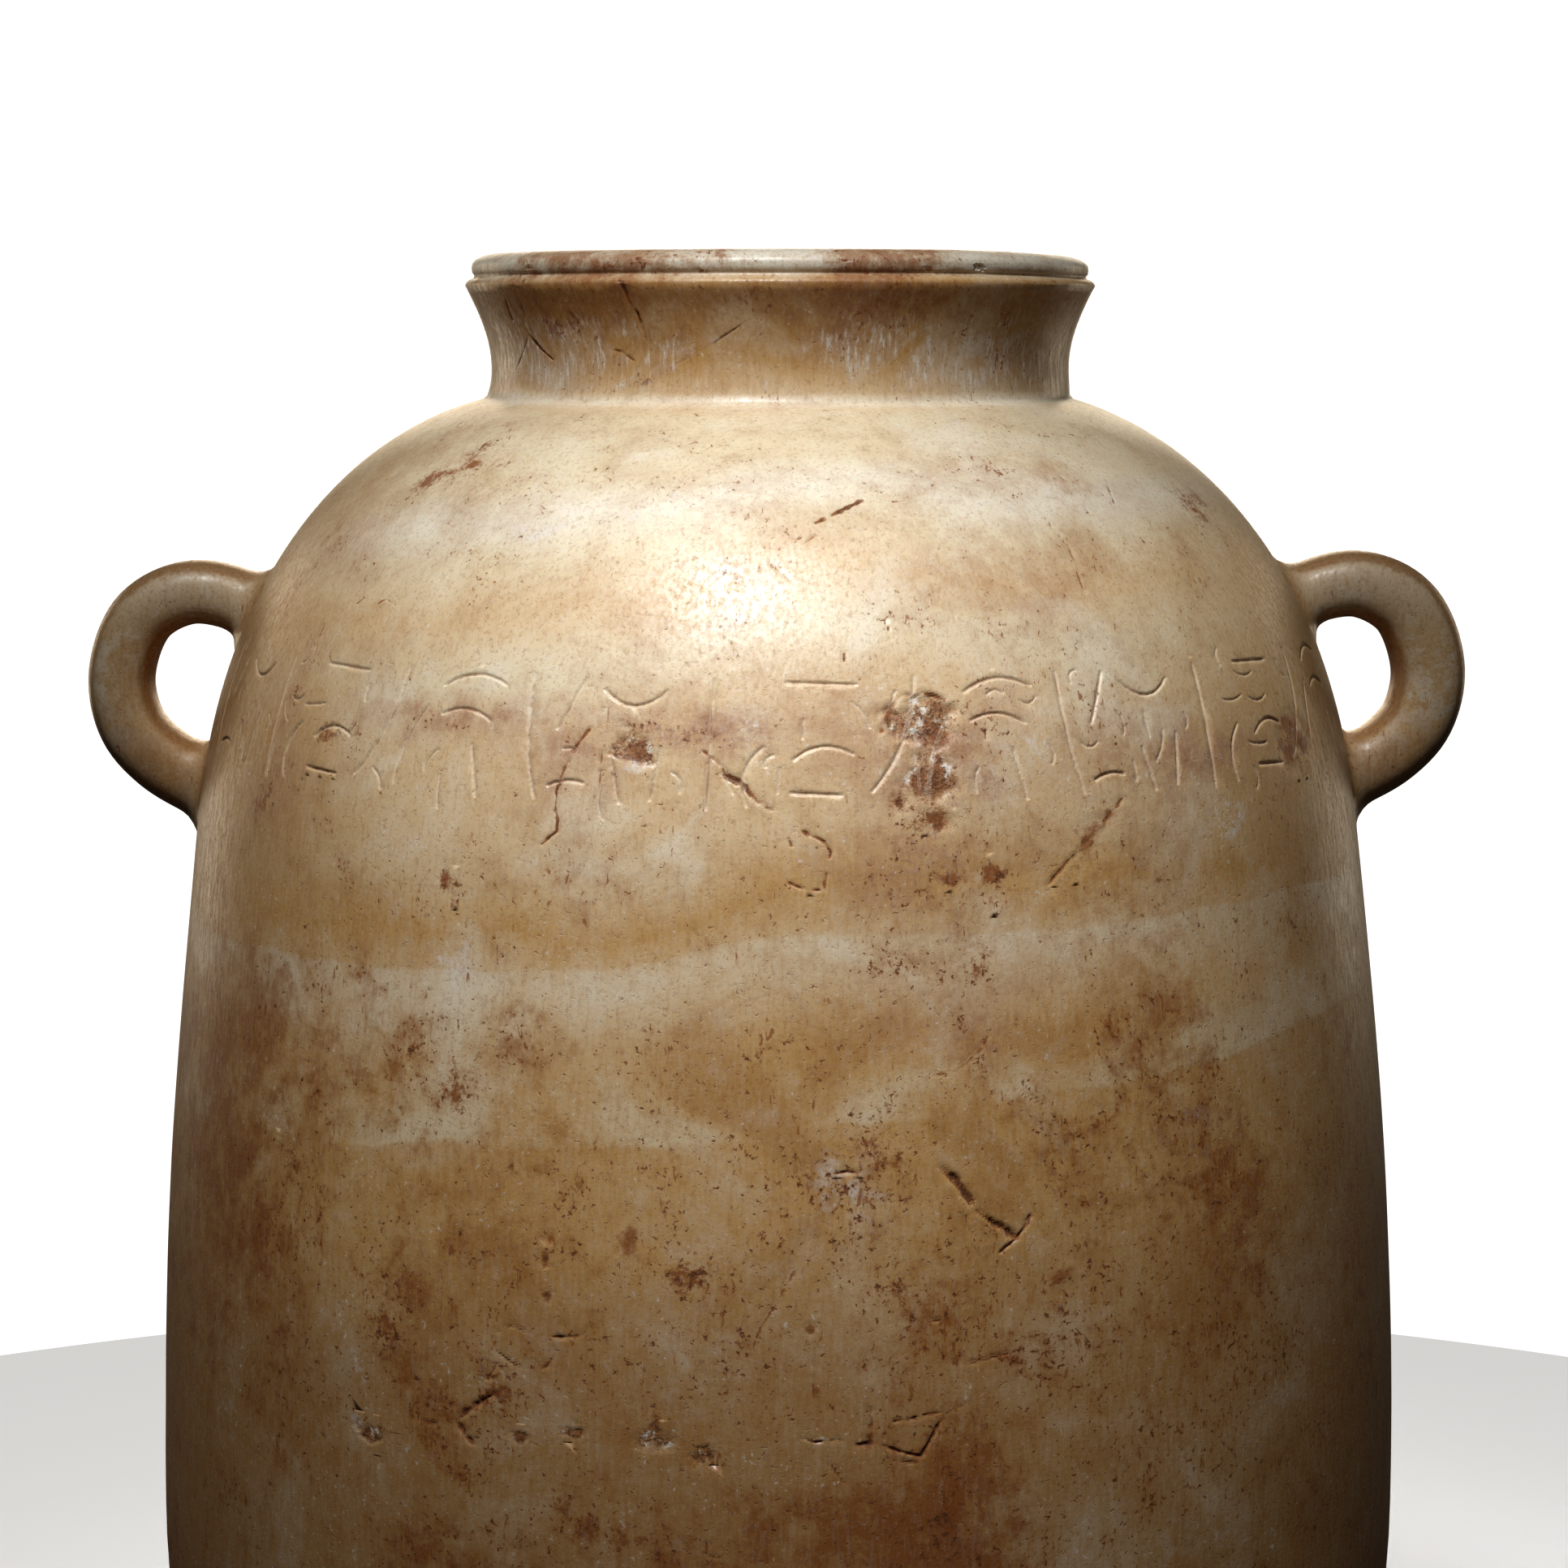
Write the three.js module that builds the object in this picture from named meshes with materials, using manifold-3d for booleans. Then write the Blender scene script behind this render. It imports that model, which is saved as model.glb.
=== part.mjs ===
// A large two-handled calcite jar of the bag-shaped alabastron kind, carved in one piece.
// It has a wide neck with a banded rim, a domed shoulder, a tall wall that widens downwards,
// a rounded base that is flat underneath, two loop handles and a band of shallow incised strokes.
// Millimetres, +Z up. The origin is the centre of the underside, -Y is the incised front, and
// the handles stand out along -X and +X.
import * as THREE from "three";
import { mergeVertices } from "three/addons/utils/BufferGeometryUtils.js";
import Module from "manifold-3d";

// Rim and neck, from the top down
const mouthRadius = 74; // the clear opening through the neck
const mouthRound = 3; // the rounding inside the lip
const mouthClear = 5; // how far the cut through the mouth runs out above the rim
const neckWall = 16; // stone at the neck's waist
const lipFlat = 10.5; // width of the flat top of the rim
const bandOverhang = 5.7; // how far the rim band stands out past the waist
const bandRound = 4; // height of the rounding over the band's outer edge
const bandHeight = 7; // rim top down to the groove
const grooveDepth = 0.7;
const ringOverhang = 2.1; // how far the ring stands out past the band
const ringHeight = 6.4;
const neckHeight = 45; // rim top down to the shoulder
const neckUpperPull = 11.6; // the two heights below the ring that draw the neck's hollow in
const neckLowerPull = 20.6;
const neckHollow = 2; // how far inside the waist the lower pull lies
const neckFootFlare = 0.8; // how far the neck spreads again where it meets the shoulder
const neckFillet = 1.2;

// Body
const shoulderRadius = 181.4; // where the shoulder has turned into the wall
const shoulderHeight = 129.3;
const shoulderFall = 15.7; // degrees below level, where the shoulder leaves the neck
const shoulderReach = 44.8; // how far the shoulder keeps that slope
const shoulderTurn = 75.7; // how far above its end the shoulder has turned to the wall
const bellyRadius = 195.5; // the widest place
const wallHeight = 213.7; // shoulder's end down to the widest place
const wallLean = 6.8; // degrees from upright, at the top of the wall
const wallStart = 110;
const wallEnd = 57;
const baseHeight = 142; // widest place down to the underside
const baseDrop = 88; // how far the wall keeps going down before it rounds under
const baseSpread = 84; // how far the underside keeps going out before it rounds up
const footRadius = 78; // the flat that the jar stands on
const footLift = 4; // degrees that the underside rises outside the flat

// Walls
const bodyWall = 18;
const floorThickness = 26;

// Handles: one looped bar on each side. The loop is the bar's centre line from its upper to its
// lower root, as the distance out from the jar's axis and the drop from the shoulder's start.
// The bars are cut freehand, so that the two differ a little in place and thickness.
const handleLoop = [
  [156, 71],
  [166, 64],
  [183.5, 60.4],
  [198.6, 67.8],
  [206, 86.3],
  [203, 102.5],
  [194.4, 112.6],
  [182, 120],
  [170, 125],
];
const handleBarWidth = 26; // front to back
const handleSquareness = 2.5; // 2 is an oval bar, more is squarer
const handleFillet = 5; // how far the bar spreads where it meets the wall
const handleFilletReach = 8;
const handles = [
  { side: -1, out: 0, lift: 0, crownBar: 19.6, midBar: 20.3, footBar: 22 },
  { side: 1, out: -1.3, lift: 2.6, crownBar: 19.2, midBar: 22.8, footBar: 21.6 },
];

// Band of incised strokes round the front: two rows in most cells, one in some
const bandDrop = 68.5; // shoulder's start down to the top of the band
const bandTall = 39.5;
const bandReach = 76; // degrees that the band runs to each side of the front
const bandCells = 18;
const strokeSides = 3; // the cutting bar is a wedge, with one of its edges inwards
const strokeWidth = 2.6; // of the cutting bar, where it stands out of the wall
const strokeDepth = 1.2;
const strokeEndTaper = 0.9;
const strokeProud = 0.6; // how far the cutting bar stands out of the wall
const strokeStep = 9; // length of one straight piece of a stroke

// How finely the round surfaces are faceted
const outerSegments = 60;
const hollowSegments = 36;
const handleSides = 14;
const handleSteps = 22;

const radians = THREE.MathUtils.degToRad;
const waistRadius = mouthRadius + neckWall;
const bandRadius = waistRadius + bandOverhang;
const ringRadius = bandRadius + ringOverhang;
const neckFootRadius = waistRadius + neckFootFlare;
const height = neckHeight + shoulderHeight + wallHeight + baseHeight;
const shoulderZ = height - neckHeight;
const ringZ = height - bandHeight - ringHeight / 2;
const wallZ = shoulderZ - shoulderHeight;
const point = (r, z) => new THREE.Vector2(r, z);

const shoulderDirection = point(Math.cos(radians(shoulderFall)), -Math.sin(radians(shoulderFall)));
const wallDirection = point(Math.sin(radians(wallLean)), -Math.cos(radians(wallLean)));
const footDirection = point(Math.cos(radians(footLift)), Math.sin(radians(footLift)));

// The outer outline of the body, in three curves from the neck down to the foot.
const shoulderStart = point(neckFootRadius + neckFillet, shoulderZ);
const shoulderEnd = point(shoulderRadius, wallZ);
const belly = point(bellyRadius, baseHeight);
const foot = point(footRadius, 0);
const shoulderCurve = new THREE.CubicBezierCurve(
  shoulderStart,
  shoulderStart.clone().addScaledVector(shoulderDirection, shoulderReach),
  shoulderEnd.clone().addScaledVector(wallDirection, -shoulderTurn),
  shoulderEnd,
);
const wallCurve = new THREE.CubicBezierCurve(
  shoulderEnd,
  shoulderEnd.clone().addScaledVector(wallDirection, wallStart),
  point(bellyRadius, baseHeight + wallEnd),
  belly,
);
const baseCurve = new THREE.CubicBezierCurve(
  belly,
  point(bellyRadius, baseHeight - baseDrop),
  foot.clone().addScaledVector(footDirection, baseSpread),
  foot,
);

// Points on a curve, without its first one, so that curves join end to end.
const along = (curve, steps) => curve.getPoints(steps).slice(1);

// A curve set back into the stone by a wall that runs from one thickness to another.
function setBack(curve, steps, fromWall, toWall) {
  const points = [];
  for (let i = 0; i <= steps; i++) {
    const u = i / steps;
    const tangent = curve.getTangent(u);
    const wall = THREE.MathUtils.lerp(fromWall, toWall, u);
    points.push(curve.getPoint(u).add(point(tangent.y, -tangent.x).multiplyScalar(wall)));
  }
  return points;
}

// A quarter ellipse, from its top to its outer or its inner side.
function quarter(centre, rx, rz, from, to, steps) {
  return new THREE.EllipseCurve(centre.x, centre.y, rx, rz, from, to, from > to).getPoints(steps);
}

function rimOutline() {
  const lipEdge = mouthRadius + mouthRound + lipFlat;
  const grooveZ = height - bandHeight;
  return [
    ...quarter(point(lipEdge, height - bandRound), bandRadius - lipEdge, bandRound, Math.PI / 2, 0, 4),
    point(bandRadius, grooveZ + grooveDepth),
    point(bandRadius - grooveDepth, grooveZ),
    point(ringRadius - grooveDepth, grooveZ - ringHeight / 4),
    point(ringRadius, ringZ),
  ];
}

function neckOutline() {
  const curve = new THREE.CubicBezierCurve(
    point(ringRadius, ringZ),
    point(waistRadius + neckHollow, ringZ - neckUpperPull),
    point(waistRadius - neckHollow, ringZ - neckLowerPull),
    point(neckFootRadius, shoulderZ + neckFillet),
  );
  return along(curve, 6);
}

function mouthOutline() {
  const lipCentre = point(mouthRadius + mouthRound, height - mouthRound);
  const lipRounding = quarter(lipCentre, mouthRound, mouthRound, Math.PI / 2, Math.PI, 3);
  const ceiling = setBack(shoulderCurve, 1, bodyWall, bodyWall)[0];
  const throatFoot = ceiling.y + (ceiling.x - mouthRadius) * Math.tan(radians(shoulderFall));
  return [...lipRounding, point(mouthRadius, throatFoot)];
}

// The outside, from the centre of the rim's top down to the centre of the underside.
function outsideOutline() {
  return [
    point(0, height),
    ...rimOutline(),
    ...neckOutline(),
    ...shoulderCurve.getPoints(11),
    ...along(wallCurve, 5),
    ...along(baseCurve, 8),
    point(0, 0),
  ];
}

// The hollow, from above the mouth down to the centre of the floor.
function hollowOutline() {
  return [
    point(0, height + mouthClear),
    point(mouthRadius + mouthRound, height + mouthClear),
    ...mouthOutline(),
    ...setBack(shoulderCurve, 6, bodyWall, bodyWall),
    ...setBack(wallCurve, 5, bodyWall, bodyWall).slice(1),
    ...setBack(baseCurve, 6, bodyWall, floorThickness).slice(1),
    point(0, floorThickness),
  ];
}

// Manifold solids, and back to three.js geometry
const wasm = await Module();
wasm.setup();

function solid(geometry) {
  const bare = geometry.index ? geometry.toNonIndexed() : geometry.clone();
  bare.deleteAttribute("normal");
  bare.deleteAttribute("uv");
  const merged = mergeVertices(bare, 1e-4);
  return new wasm.Manifold(
    new wasm.Mesh({
      numProp: 3,
      vertProperties: merged.attributes.position.array,
      triVerts: new Uint32Array(merged.index.array),
    }),
  );
}

function geometryOf(made) {
  const mesh = made.getMesh();
  const geometry = new THREE.BufferGeometry();
  geometry.setAttribute("position", new THREE.BufferAttribute(mesh.vertProperties, mesh.numProp));
  geometry.setIndex(new THREE.BufferAttribute(mesh.triVerts, 1));
  geometry.computeVertexNormals();
  return geometry;
}

// The radius of the body's outside at a height, on its shoulder or wall.
const bodyOutline = [...shoulderCurve.getPoints(60), ...along(wallCurve, 60)];
function bodyRadius(z) {
  const below = bodyOutline.findIndex((p) => p.y <= z);
  const [a, b] = [bodyOutline[below - 1], bodyOutline[below]];
  return THREE.MathUtils.mapLinear(z, a.y, b.y, a.x, b.x);
}

// A handle is a unit bar bent along its loop. Each of its points is then pushed outwards by the
// fillet, the more the nearer it is to the wall.
function handle({ side, out, lift, crownBar, midBar, footBar }) {
  const centres = handleLoop.map(([r, drop]) => new THREE.Vector3(r + out, 0, shoulderZ - drop + lift));
  const loop = new THREE.CatmullRomCurve3(centres);
  const barAt = (u) => {
    const [a, b, v] = u < 0.5 ? [crownBar, midBar, u * 2] : [midBar, footBar, u * 2 - 1];
    return THREE.MathUtils.lerp(a, b, THREE.MathUtils.smoothstep(v, 0, 1));
  };
  const squared = (value) => Math.sign(value) * Math.abs(value) ** (2 / handleSquareness);

  const geometry = new THREE.CylinderGeometry(1, 1, 1, handleSides, handleSteps);
  const place = geometry.attributes.position;
  for (let i = 0; i < place.count; i++) {
    const u = THREE.MathUtils.clamp(place.getY(i) + 0.5, 0, 1);
    const centre = loop.getPointAt(u);
    const tangent = loop.getTangentAt(u);
    const [thick, wide] = [squared(place.getX(i)), squared(place.getZ(i))];
    const at = (fillet) => [
      centre.x - tangent.z * thick * (barAt(u) / 2 + fillet),
      wide * (handleBarWidth / 2 + fillet),
      centre.z + tangent.x * thick * (barAt(u) / 2 + fillet),
    ];
    const [x, y, z] = at(0);
    const near = THREE.MathUtils.clamp(1 - (Math.hypot(x, y) - bodyRadius(z)) / handleFilletReach, 0, 1);
    const [r, depth, level] = at(handleFillet * (1 - Math.sqrt(1 - near * near)));
    place.setXYZ(i, side * r, side * depth, level);
  }
  return solid(geometry);
}

// The strokes of one cell of the band, as [across, up, length, tilt, bow] in millimetres and in
// degrees from level. Across and up are from the middle of the cell, bow is the rise of an arc.
const strokeGroups = [
  [[-5, 0, 34, 97, 1.5], [6, 9, 16, 64, 0], [6.5, -12, 11, 6, 1.2]],
  [[1, 11, 18, 0, -4.4], [-6, -9, 15, 100, 0], [5, -11, 13, 76, 0]],
  [[-5, -1, 35, 88, 0], [6, -9, 17, 74, 3.4]],
  [[0, 15, 20, 2, 0], [0, -3, 17, -5, 3], [2, -14, 15, 3, 0]],
  [[-4.5, 1, 34, 66, -3], [6, -4, 24, 70, 2]],
  [[0, 14, 21, -3, 3.2], [1, 5, 17, 4, 2.6], [-4, -10, 15, 78, 0]],
];

// A stroke is a wedge bent to lie in the wall, and its cut runs out at both ends.
function stroke(angle, middleZ, length, tilt, bow) {
  const pieces = 1 + Math.ceil(length / strokeStep);
  const geometry = new THREE.CylinderGeometry(1, 1, 1, strokeSides, pieces);
  const place = geometry.attributes.position;
  for (let i = 0; i < place.count; i++) {
    const s = place.getY(i) * 2;
    const run = (s * length) / 2;
    const rise = bow * (0.5 - s * s) + (place.getX(i) * strokeWidth) / Math.sqrt(3);
    const depth = strokeDepth * (1 - strokeEndTaper * s ** 4);
    const inward = THREE.MathUtils.mapLinear(place.getZ(i), -0.5, 1, -strokeProud, depth);
    const across = run * Math.cos(tilt) - rise * Math.sin(tilt);
    const z = middleZ + run * Math.sin(tilt) + rise * Math.cos(tilt);
    const theta = angle + across / bodyRadius(z);
    const r = bodyRadius(z) - inward;
    place.setXYZ(i, r * Math.sin(theta), -r * Math.cos(theta), z);
  }
  return solid(geometry);
}

// Every second cell is turned over, so that the few groups don't read as a repeat.
function strokes() {
  const cellAngle = (2 * bandReach) / bandCells;
  const middleZ = shoulderZ - bandDrop - bandTall / 2;
  const made = [];
  for (let i = 0; i < bandCells; i++) {
    const flip = i % 2 ? -1 : 1;
    for (const [across, up, length, tilt, bow] of strokeGroups[i % strokeGroups.length]) {
      const z = middleZ + up;
      const angle = radians(-bandReach + cellAngle * (i + 0.5)) + (flip * across) / bodyRadius(z);
      made.push(stroke(angle, z, length, radians(flip * tilt), bow));
    }
  }
  return made;
}

// A solid turned from an outline that runs down from the axis to the axis.
function turned(outline, segments) {
  return solid(new THREE.LatheGeometry(outline.reverse(), segments).rotateX(Math.PI / 2));
}

let jar = turned(outsideOutline(), outerSegments);
for (const spec of handles) jar = jar.add(handle(spec));
jar = jar.subtract(turned(hollowOutline(), hollowSegments));
for (const cut of strokes()) jar = jar.subtract(cut);

const calcite = new THREE.MeshStandardMaterial({ color: 0xc9a775, roughness: 0.42, metalness: 0 });
const jarMesh = new THREE.Mesh(geometryOf(jar), calcite);
jarMesh.name = "jar";

const alabastron = new THREE.Group();
alabastron.add(jarMesh);
export default alabastron;
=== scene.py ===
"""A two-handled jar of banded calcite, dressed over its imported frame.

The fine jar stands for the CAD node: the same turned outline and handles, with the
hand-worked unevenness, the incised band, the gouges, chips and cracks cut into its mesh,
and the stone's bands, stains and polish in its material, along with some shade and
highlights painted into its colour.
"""

from __future__ import annotations

import logging
import math
import random
from dataclasses import dataclass, field
from enum import Enum
from typing import Iterable, Sequence

import bmesh
import bpy
import numpy as np
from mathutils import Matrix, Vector, kdtree
from mathutils.geometry import interpolate_bezier

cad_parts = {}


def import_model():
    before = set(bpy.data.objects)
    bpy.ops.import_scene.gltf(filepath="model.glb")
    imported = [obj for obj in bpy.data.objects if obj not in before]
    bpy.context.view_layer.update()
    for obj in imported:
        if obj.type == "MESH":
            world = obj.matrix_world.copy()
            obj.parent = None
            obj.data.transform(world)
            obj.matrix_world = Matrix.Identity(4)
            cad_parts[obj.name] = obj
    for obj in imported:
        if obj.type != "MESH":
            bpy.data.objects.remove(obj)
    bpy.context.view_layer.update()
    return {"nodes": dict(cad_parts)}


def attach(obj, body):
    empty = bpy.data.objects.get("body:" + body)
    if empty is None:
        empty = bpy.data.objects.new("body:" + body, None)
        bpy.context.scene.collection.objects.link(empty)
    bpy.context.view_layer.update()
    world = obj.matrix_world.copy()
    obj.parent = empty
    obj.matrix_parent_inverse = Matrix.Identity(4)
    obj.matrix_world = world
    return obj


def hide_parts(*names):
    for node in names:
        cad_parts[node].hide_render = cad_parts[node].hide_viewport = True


log = logging.getLogger("jar")

MM = 0.001


class Mark(Enum):
    """What a cut or a patch leaves on the stone, each an attribute of the jar's mesh."""

    SIGN = "sign"
    DIRT = "dirt"
    SCAR = "scar"
    STAIN = "stain"
    # pale stone and scuffs, and pale patches that are painted highlights
    PALE = "pale"
    PINK = "pink"
    HANDLE = "handle"


@dataclass(frozen=True)
class Outline:
    """The jar's turned outline, in millimetres, from the sizes that the solids are made from."""

    height: float = 530.0
    mouth: float = 74.0
    mouth_round: float = 3.0
    neck_wall: float = 16.0
    lip_flat: float = 10.5
    band_overhang: float = 5.7
    band_round: float = 4.0
    band_height: float = 7.0
    groove_depth: float = 0.8
    ring_overhang: float = 2.1
    ring_height: float = 6.4
    neck_height: float = 45.0
    neck_hollow: float = 2.0
    neck_upper_pull: float = 11.6
    neck_lower_pull: float = 20.6
    neck_flare: float = 0.8
    fillet: float = 1.2
    shoulder_height: float = 129.3
    shoulder_fall: float = 15.7
    shoulder_reach: float = 44.8
    shoulder_turn: float = 75.7
    wall_top: float = 181.4
    wall_lean: float = 6.8
    wall_start: float = 110.0
    wall_end: float = 57.0
    belly: float = 195.5
    belly_z: float = 142.0
    base_drop: float = 88.0
    base_spread: float = 84.0
    foot: float = 78.0
    foot_lift: float = 4.0
    wall: float = 18.0
    floor: float = 26.0

    @property
    def neck_radius(self) -> float:
        """The neck's outer radius."""
        return self.mouth + self.neck_wall

    @property
    def band(self) -> float:
        """The radius of the rim's band."""
        return self.neck_radius + self.band_overhang

    @property
    def ring(self) -> float:
        """The radius of the ring under the groove."""
        return self.band + self.ring_overhang

    @property
    def neck_foot(self) -> float:
        """The neck's radius where it meets the shoulder."""
        return self.neck_radius + self.neck_flare

    @property
    def groove(self) -> float:
        """The height of the groove between band and ring."""
        return self.height - self.band_height

    @property
    def ring_z(self) -> float:
        """The height of the ring's middle."""
        return self.groove - self.ring_height / 2

    @property
    def shoulder_z(self) -> float:
        """The height where the shoulder starts."""
        return self.height - self.neck_height

    @property
    def wall_z(self) -> float:
        """The height where the shoulder turns into the wall."""
        return self.shoulder_z - self.shoulder_height

    @staticmethod
    def pull(start: tuple[float, float], length: float, degrees: float) -> Vector:
        """A curve's control point, to a hundredth of a millimetre.

        Args:
            start: the curve's end that it belongs to.
            length: how far it lies from that end.
            degrees: its direction, from level outwards towards upright.

        Returns:
            The point.
        """
        a = math.radians(degrees)
        x, z = start[0] + length * math.cos(a), start[1] + length * math.sin(a)
        return Vector((round(x, 2), round(z, 2)))

    def neck(self) -> list[Vector]:
        """The neck's hollow curve, from the ring down to the shoulder.

        Returns:
            The points, as radius and height.
        """
        return interpolate_bezier(
            Vector((self.ring, self.ring_z)),
            Vector((self.neck_radius + self.neck_hollow, self.ring_z - self.neck_upper_pull)),
            Vector((self.neck_radius - self.neck_hollow, self.ring_z - self.neck_lower_pull)),
            Vector((self.neck_foot, self.shoulder_z + self.fillet)),
            16,
        )

    def shoulder(self, count: int = 44) -> list[Vector]:
        """The domed shoulder's points from the neck down to the wall, as radius and height.

        Args:
            count: how many points to take on the curve.

        Returns:
            The points.
        """
        start, end = (self.neck_foot + self.fillet, self.shoulder_z), (self.wall_top, self.wall_z)
        first = self.pull(start, self.shoulder_reach, -self.shoulder_fall)
        second = self.pull(end, self.shoulder_turn, 90.0 + self.wall_lean)
        return interpolate_bezier(Vector(start), first, second, Vector(end), count)

    def side(self, count: int = 46) -> list[Vector]:
        """The long wall's points from the shoulder down to the belly, as radius and height.

        Args:
            count: how many points to take on the curve.

        Returns:
            The points.
        """
        start = (self.wall_top, self.wall_z)
        first = self.pull(start, self.wall_start, self.wall_lean - 90.0)
        second, end = (Vector((self.belly, self.belly_z + up)) for up in (self.wall_end, 0.0))
        return interpolate_bezier(Vector(start), first, second, end, count)

    def base(self, count: int = 24) -> list[Vector]:
        """The rounded base's points from the belly down to the flat foot, as radius and height.

        Args:
            count: how many points to take on the curve.

        Returns:
            The points.
        """
        start, first = (Vector((self.belly, self.belly_z - down)) for down in (0.0, self.base_drop))
        second = self.pull((self.foot, 0.0), self.base_spread, self.foot_lift)
        return interpolate_bezier(start, first, second, Vector((self.foot, 0.0)), count)

    def rim(self) -> list[Vector]:
        """The lip, the rim's band, its groove and the ring, from the flat top down.

        Returns:
            The points, as radius and height.
        """
        edge = self.mouth + self.mouth_round + self.lip_flat
        turn = [math.radians(a) for a in range(90, -1, -15)]
        lip = [
            Vector(
                (
                    edge + (self.band - edge) * math.cos(a),
                    self.height - self.band_round * (1 - math.sin(a)),
                )
            )
            for a in turn
        ]
        lower = [
            (self.band, self.groove + 2.0),
            (self.band - 0.15, self.groove + 1.0),
            (self.band - 0.55, self.groove + 0.4),
            (self.band - self.groove_depth, self.groove - 0.1),
            (self.band - 0.35, self.groove - 0.8),
            (self.ring - 1.3, self.groove - 1.3),
            (self.ring - 0.35, self.groove - 2.2),
        ]
        return lip + [Vector(p) for p in lower]

    def outer(self) -> list[Vector]:
        """The whole outside, from the rim's flat top down to the foot.

        Returns:
            The points, as radius and height.
        """
        parts = [self.rim(), self.neck(), self.shoulder(), self.side(), self.base()]
        points: list[Vector] = []
        for part in parts:
            for p in part:
                if not points or (p - points[-1]).length > 0.2:
                    points.append(p)
        return points

    def inner(self) -> list[Vector]:
        """The inside, from the lip down the throat and the hollow to the floor.

        Returns:
            The points, as radius and height.
        """
        lip = [
            Vector(
                (
                    self.mouth + self.mouth_round * (1 - math.sin(a)),
                    self.height - self.mouth_round * (1 - math.cos(a)),
                )
            )
            for a in (math.radians(d) for d in range(0, 91, 18))
        ]
        throat = [Vector((self.mouth, z)) for z in (*range(520, 479, -8), 471.4)]
        points = lip + throat
        for curve, start, end in (
            (self.shoulder(16), self.wall, self.wall),
            (self.side(14), self.wall, self.wall),
            (self.base(14), self.wall, self.floor),
        ):
            for i, p in enumerate(curve):
                ahead = curve[min(i + 1, len(curve) - 1)] - curve[max(i - 1, 0)]
                set_back = start + (end - start) * i / (len(curve) - 1)
                inward = Vector((ahead.y, -ahead.x)).normalized() * set_back
                if (p + inward - points[-1]).length > 1.0:
                    points.append(p + inward)
        return points


@dataclass(frozen=True)
class Surface:
    """The outside as a dense line, to put points on it and to find its nearest place."""

    line: np.ndarray
    tree: kdtree.KDTree

    @classmethod
    def of(cls, outline: Outline) -> "Surface":
        """Makes the dense line from an outline.

        Args:
            outline: the jar's outline.

        Returns:
            The surface, in metres.
        """
        rough = np.array([tuple(p) for p in outline.outer()]) * MM
        steps = np.hypot(*np.diff(rough, axis=0).T)
        length = np.concatenate([[0.0], np.cumsum(steps)])
        run = np.arange(0.0, length[-1], 0.25 * MM)
        line = np.stack([np.interp(run, length, rough[:, k]) for k in (0, 1)], axis=1)
        tree = kdtree.KDTree(len(line))
        for i, (r, z) in enumerate(line):
            tree.insert((r, z, 0.0), i)
        tree.balance()
        return cls(line, tree)

    def radius(self, z: np.ndarray | float) -> np.ndarray:
        """The outside's radius at heights, all in metres."""
        return np.interp(-np.asarray(z), -self.line[:, 1], self.line[:, 0])

    def girth(self, height: float) -> float:
        """The outside's radius at a height, both in millimetres."""
        return float(self.radius(height * MM)) / MM

    def point(self, azimuth: float, height: float) -> np.ndarray:
        """A point of the outside.

        Args:
            azimuth: degrees from the front, growing towards +X.
            height: millimetres above the underside.

        Returns:
            The point, in metres.
        """
        r = float(self.radius(height * MM))
        a = math.radians(azimuth)
        return np.array((r * math.sin(a), -r * math.cos(a), height * MM))

    def settle(self, co: np.ndarray) -> np.ndarray:
        """Moves points onto the nearest place of the outside, in their own meridian plane.

        Args:
            co: points close to the outside, in metres.

        Returns:
            The moved points.
        """
        r = np.hypot(co[:, 0], co[:, 1])
        flat = np.stack([r, co[:, 2]], axis=1)
        found = [self.tree.find((*p, 0.0))[1] for p in flat]
        near = np.clip(found, 1, len(self.line) - 2)
        along = self.line[near + 1] - self.line[near - 1]
        along /= np.linalg.norm(along, axis=1)[:, None]
        back = ((flat - self.line[near]) * along).sum(axis=1)
        moved = self.line[near] + along * back[:, None]
        out = co.copy()
        out[:, :2] *= (moved[:, 0] / np.maximum(r, 1e-9))[:, None]
        out[:, 2] = moved[:, 1]
        return out

    def distance(self, co: np.ndarray) -> np.ndarray:
        """How far points are from the outside, in metres."""
        return np.linalg.norm(co - self.settle(co), axis=1)


@dataclass(frozen=True)
class Photo:
    """The photograph as a view of the jar: where its camera stood, in metres, and how it looked."""

    side: int = 1932
    focal_pixels: float = 4676.0
    pitch: float = 6.998
    eye: tuple[float, float, float] = (0.00226, -1.1875, 0.50978)
    nearest: float = 0.9
    farthest: float = 1.3

    def spot(self, column: float, row: float, surface: Surface) -> tuple[float, float]:
        """Follows the line of sight through a pixel to the jar's outside.

        Args:
            column: pixels from the photograph's left edge.
            row: pixels from its upper edge.
            surface: the body's outside.

        Returns:
            Degrees from the front and millimetres above the underside.
        """
        tilt = math.radians(self.pitch)
        right, down = ((p - self.side / 2) / self.focal_pixels for p in (column, row))
        sight = np.array(
            (right, math.cos(tilt) - down * math.sin(tilt), -math.sin(tilt) - down * math.cos(tilt))
        )
        sight /= np.linalg.norm(sight)
        seen = np.array(self.eye) + np.arange(self.nearest, self.farthest, MM)[:, None] * sight
        gap = np.hypot(seen[:, 0], seen[:, 1]) - surface.radius(seen[:, 2])
        hit = int((gap < 0).argmax())
        share = gap[hit - 1] / (gap[hit - 1] - gap[hit])
        x, y, z = seen[hit - 1] + (seen[hit] - seen[hit - 1]) * share
        return math.degrees(math.atan2(x, -y)), z / MM


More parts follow.
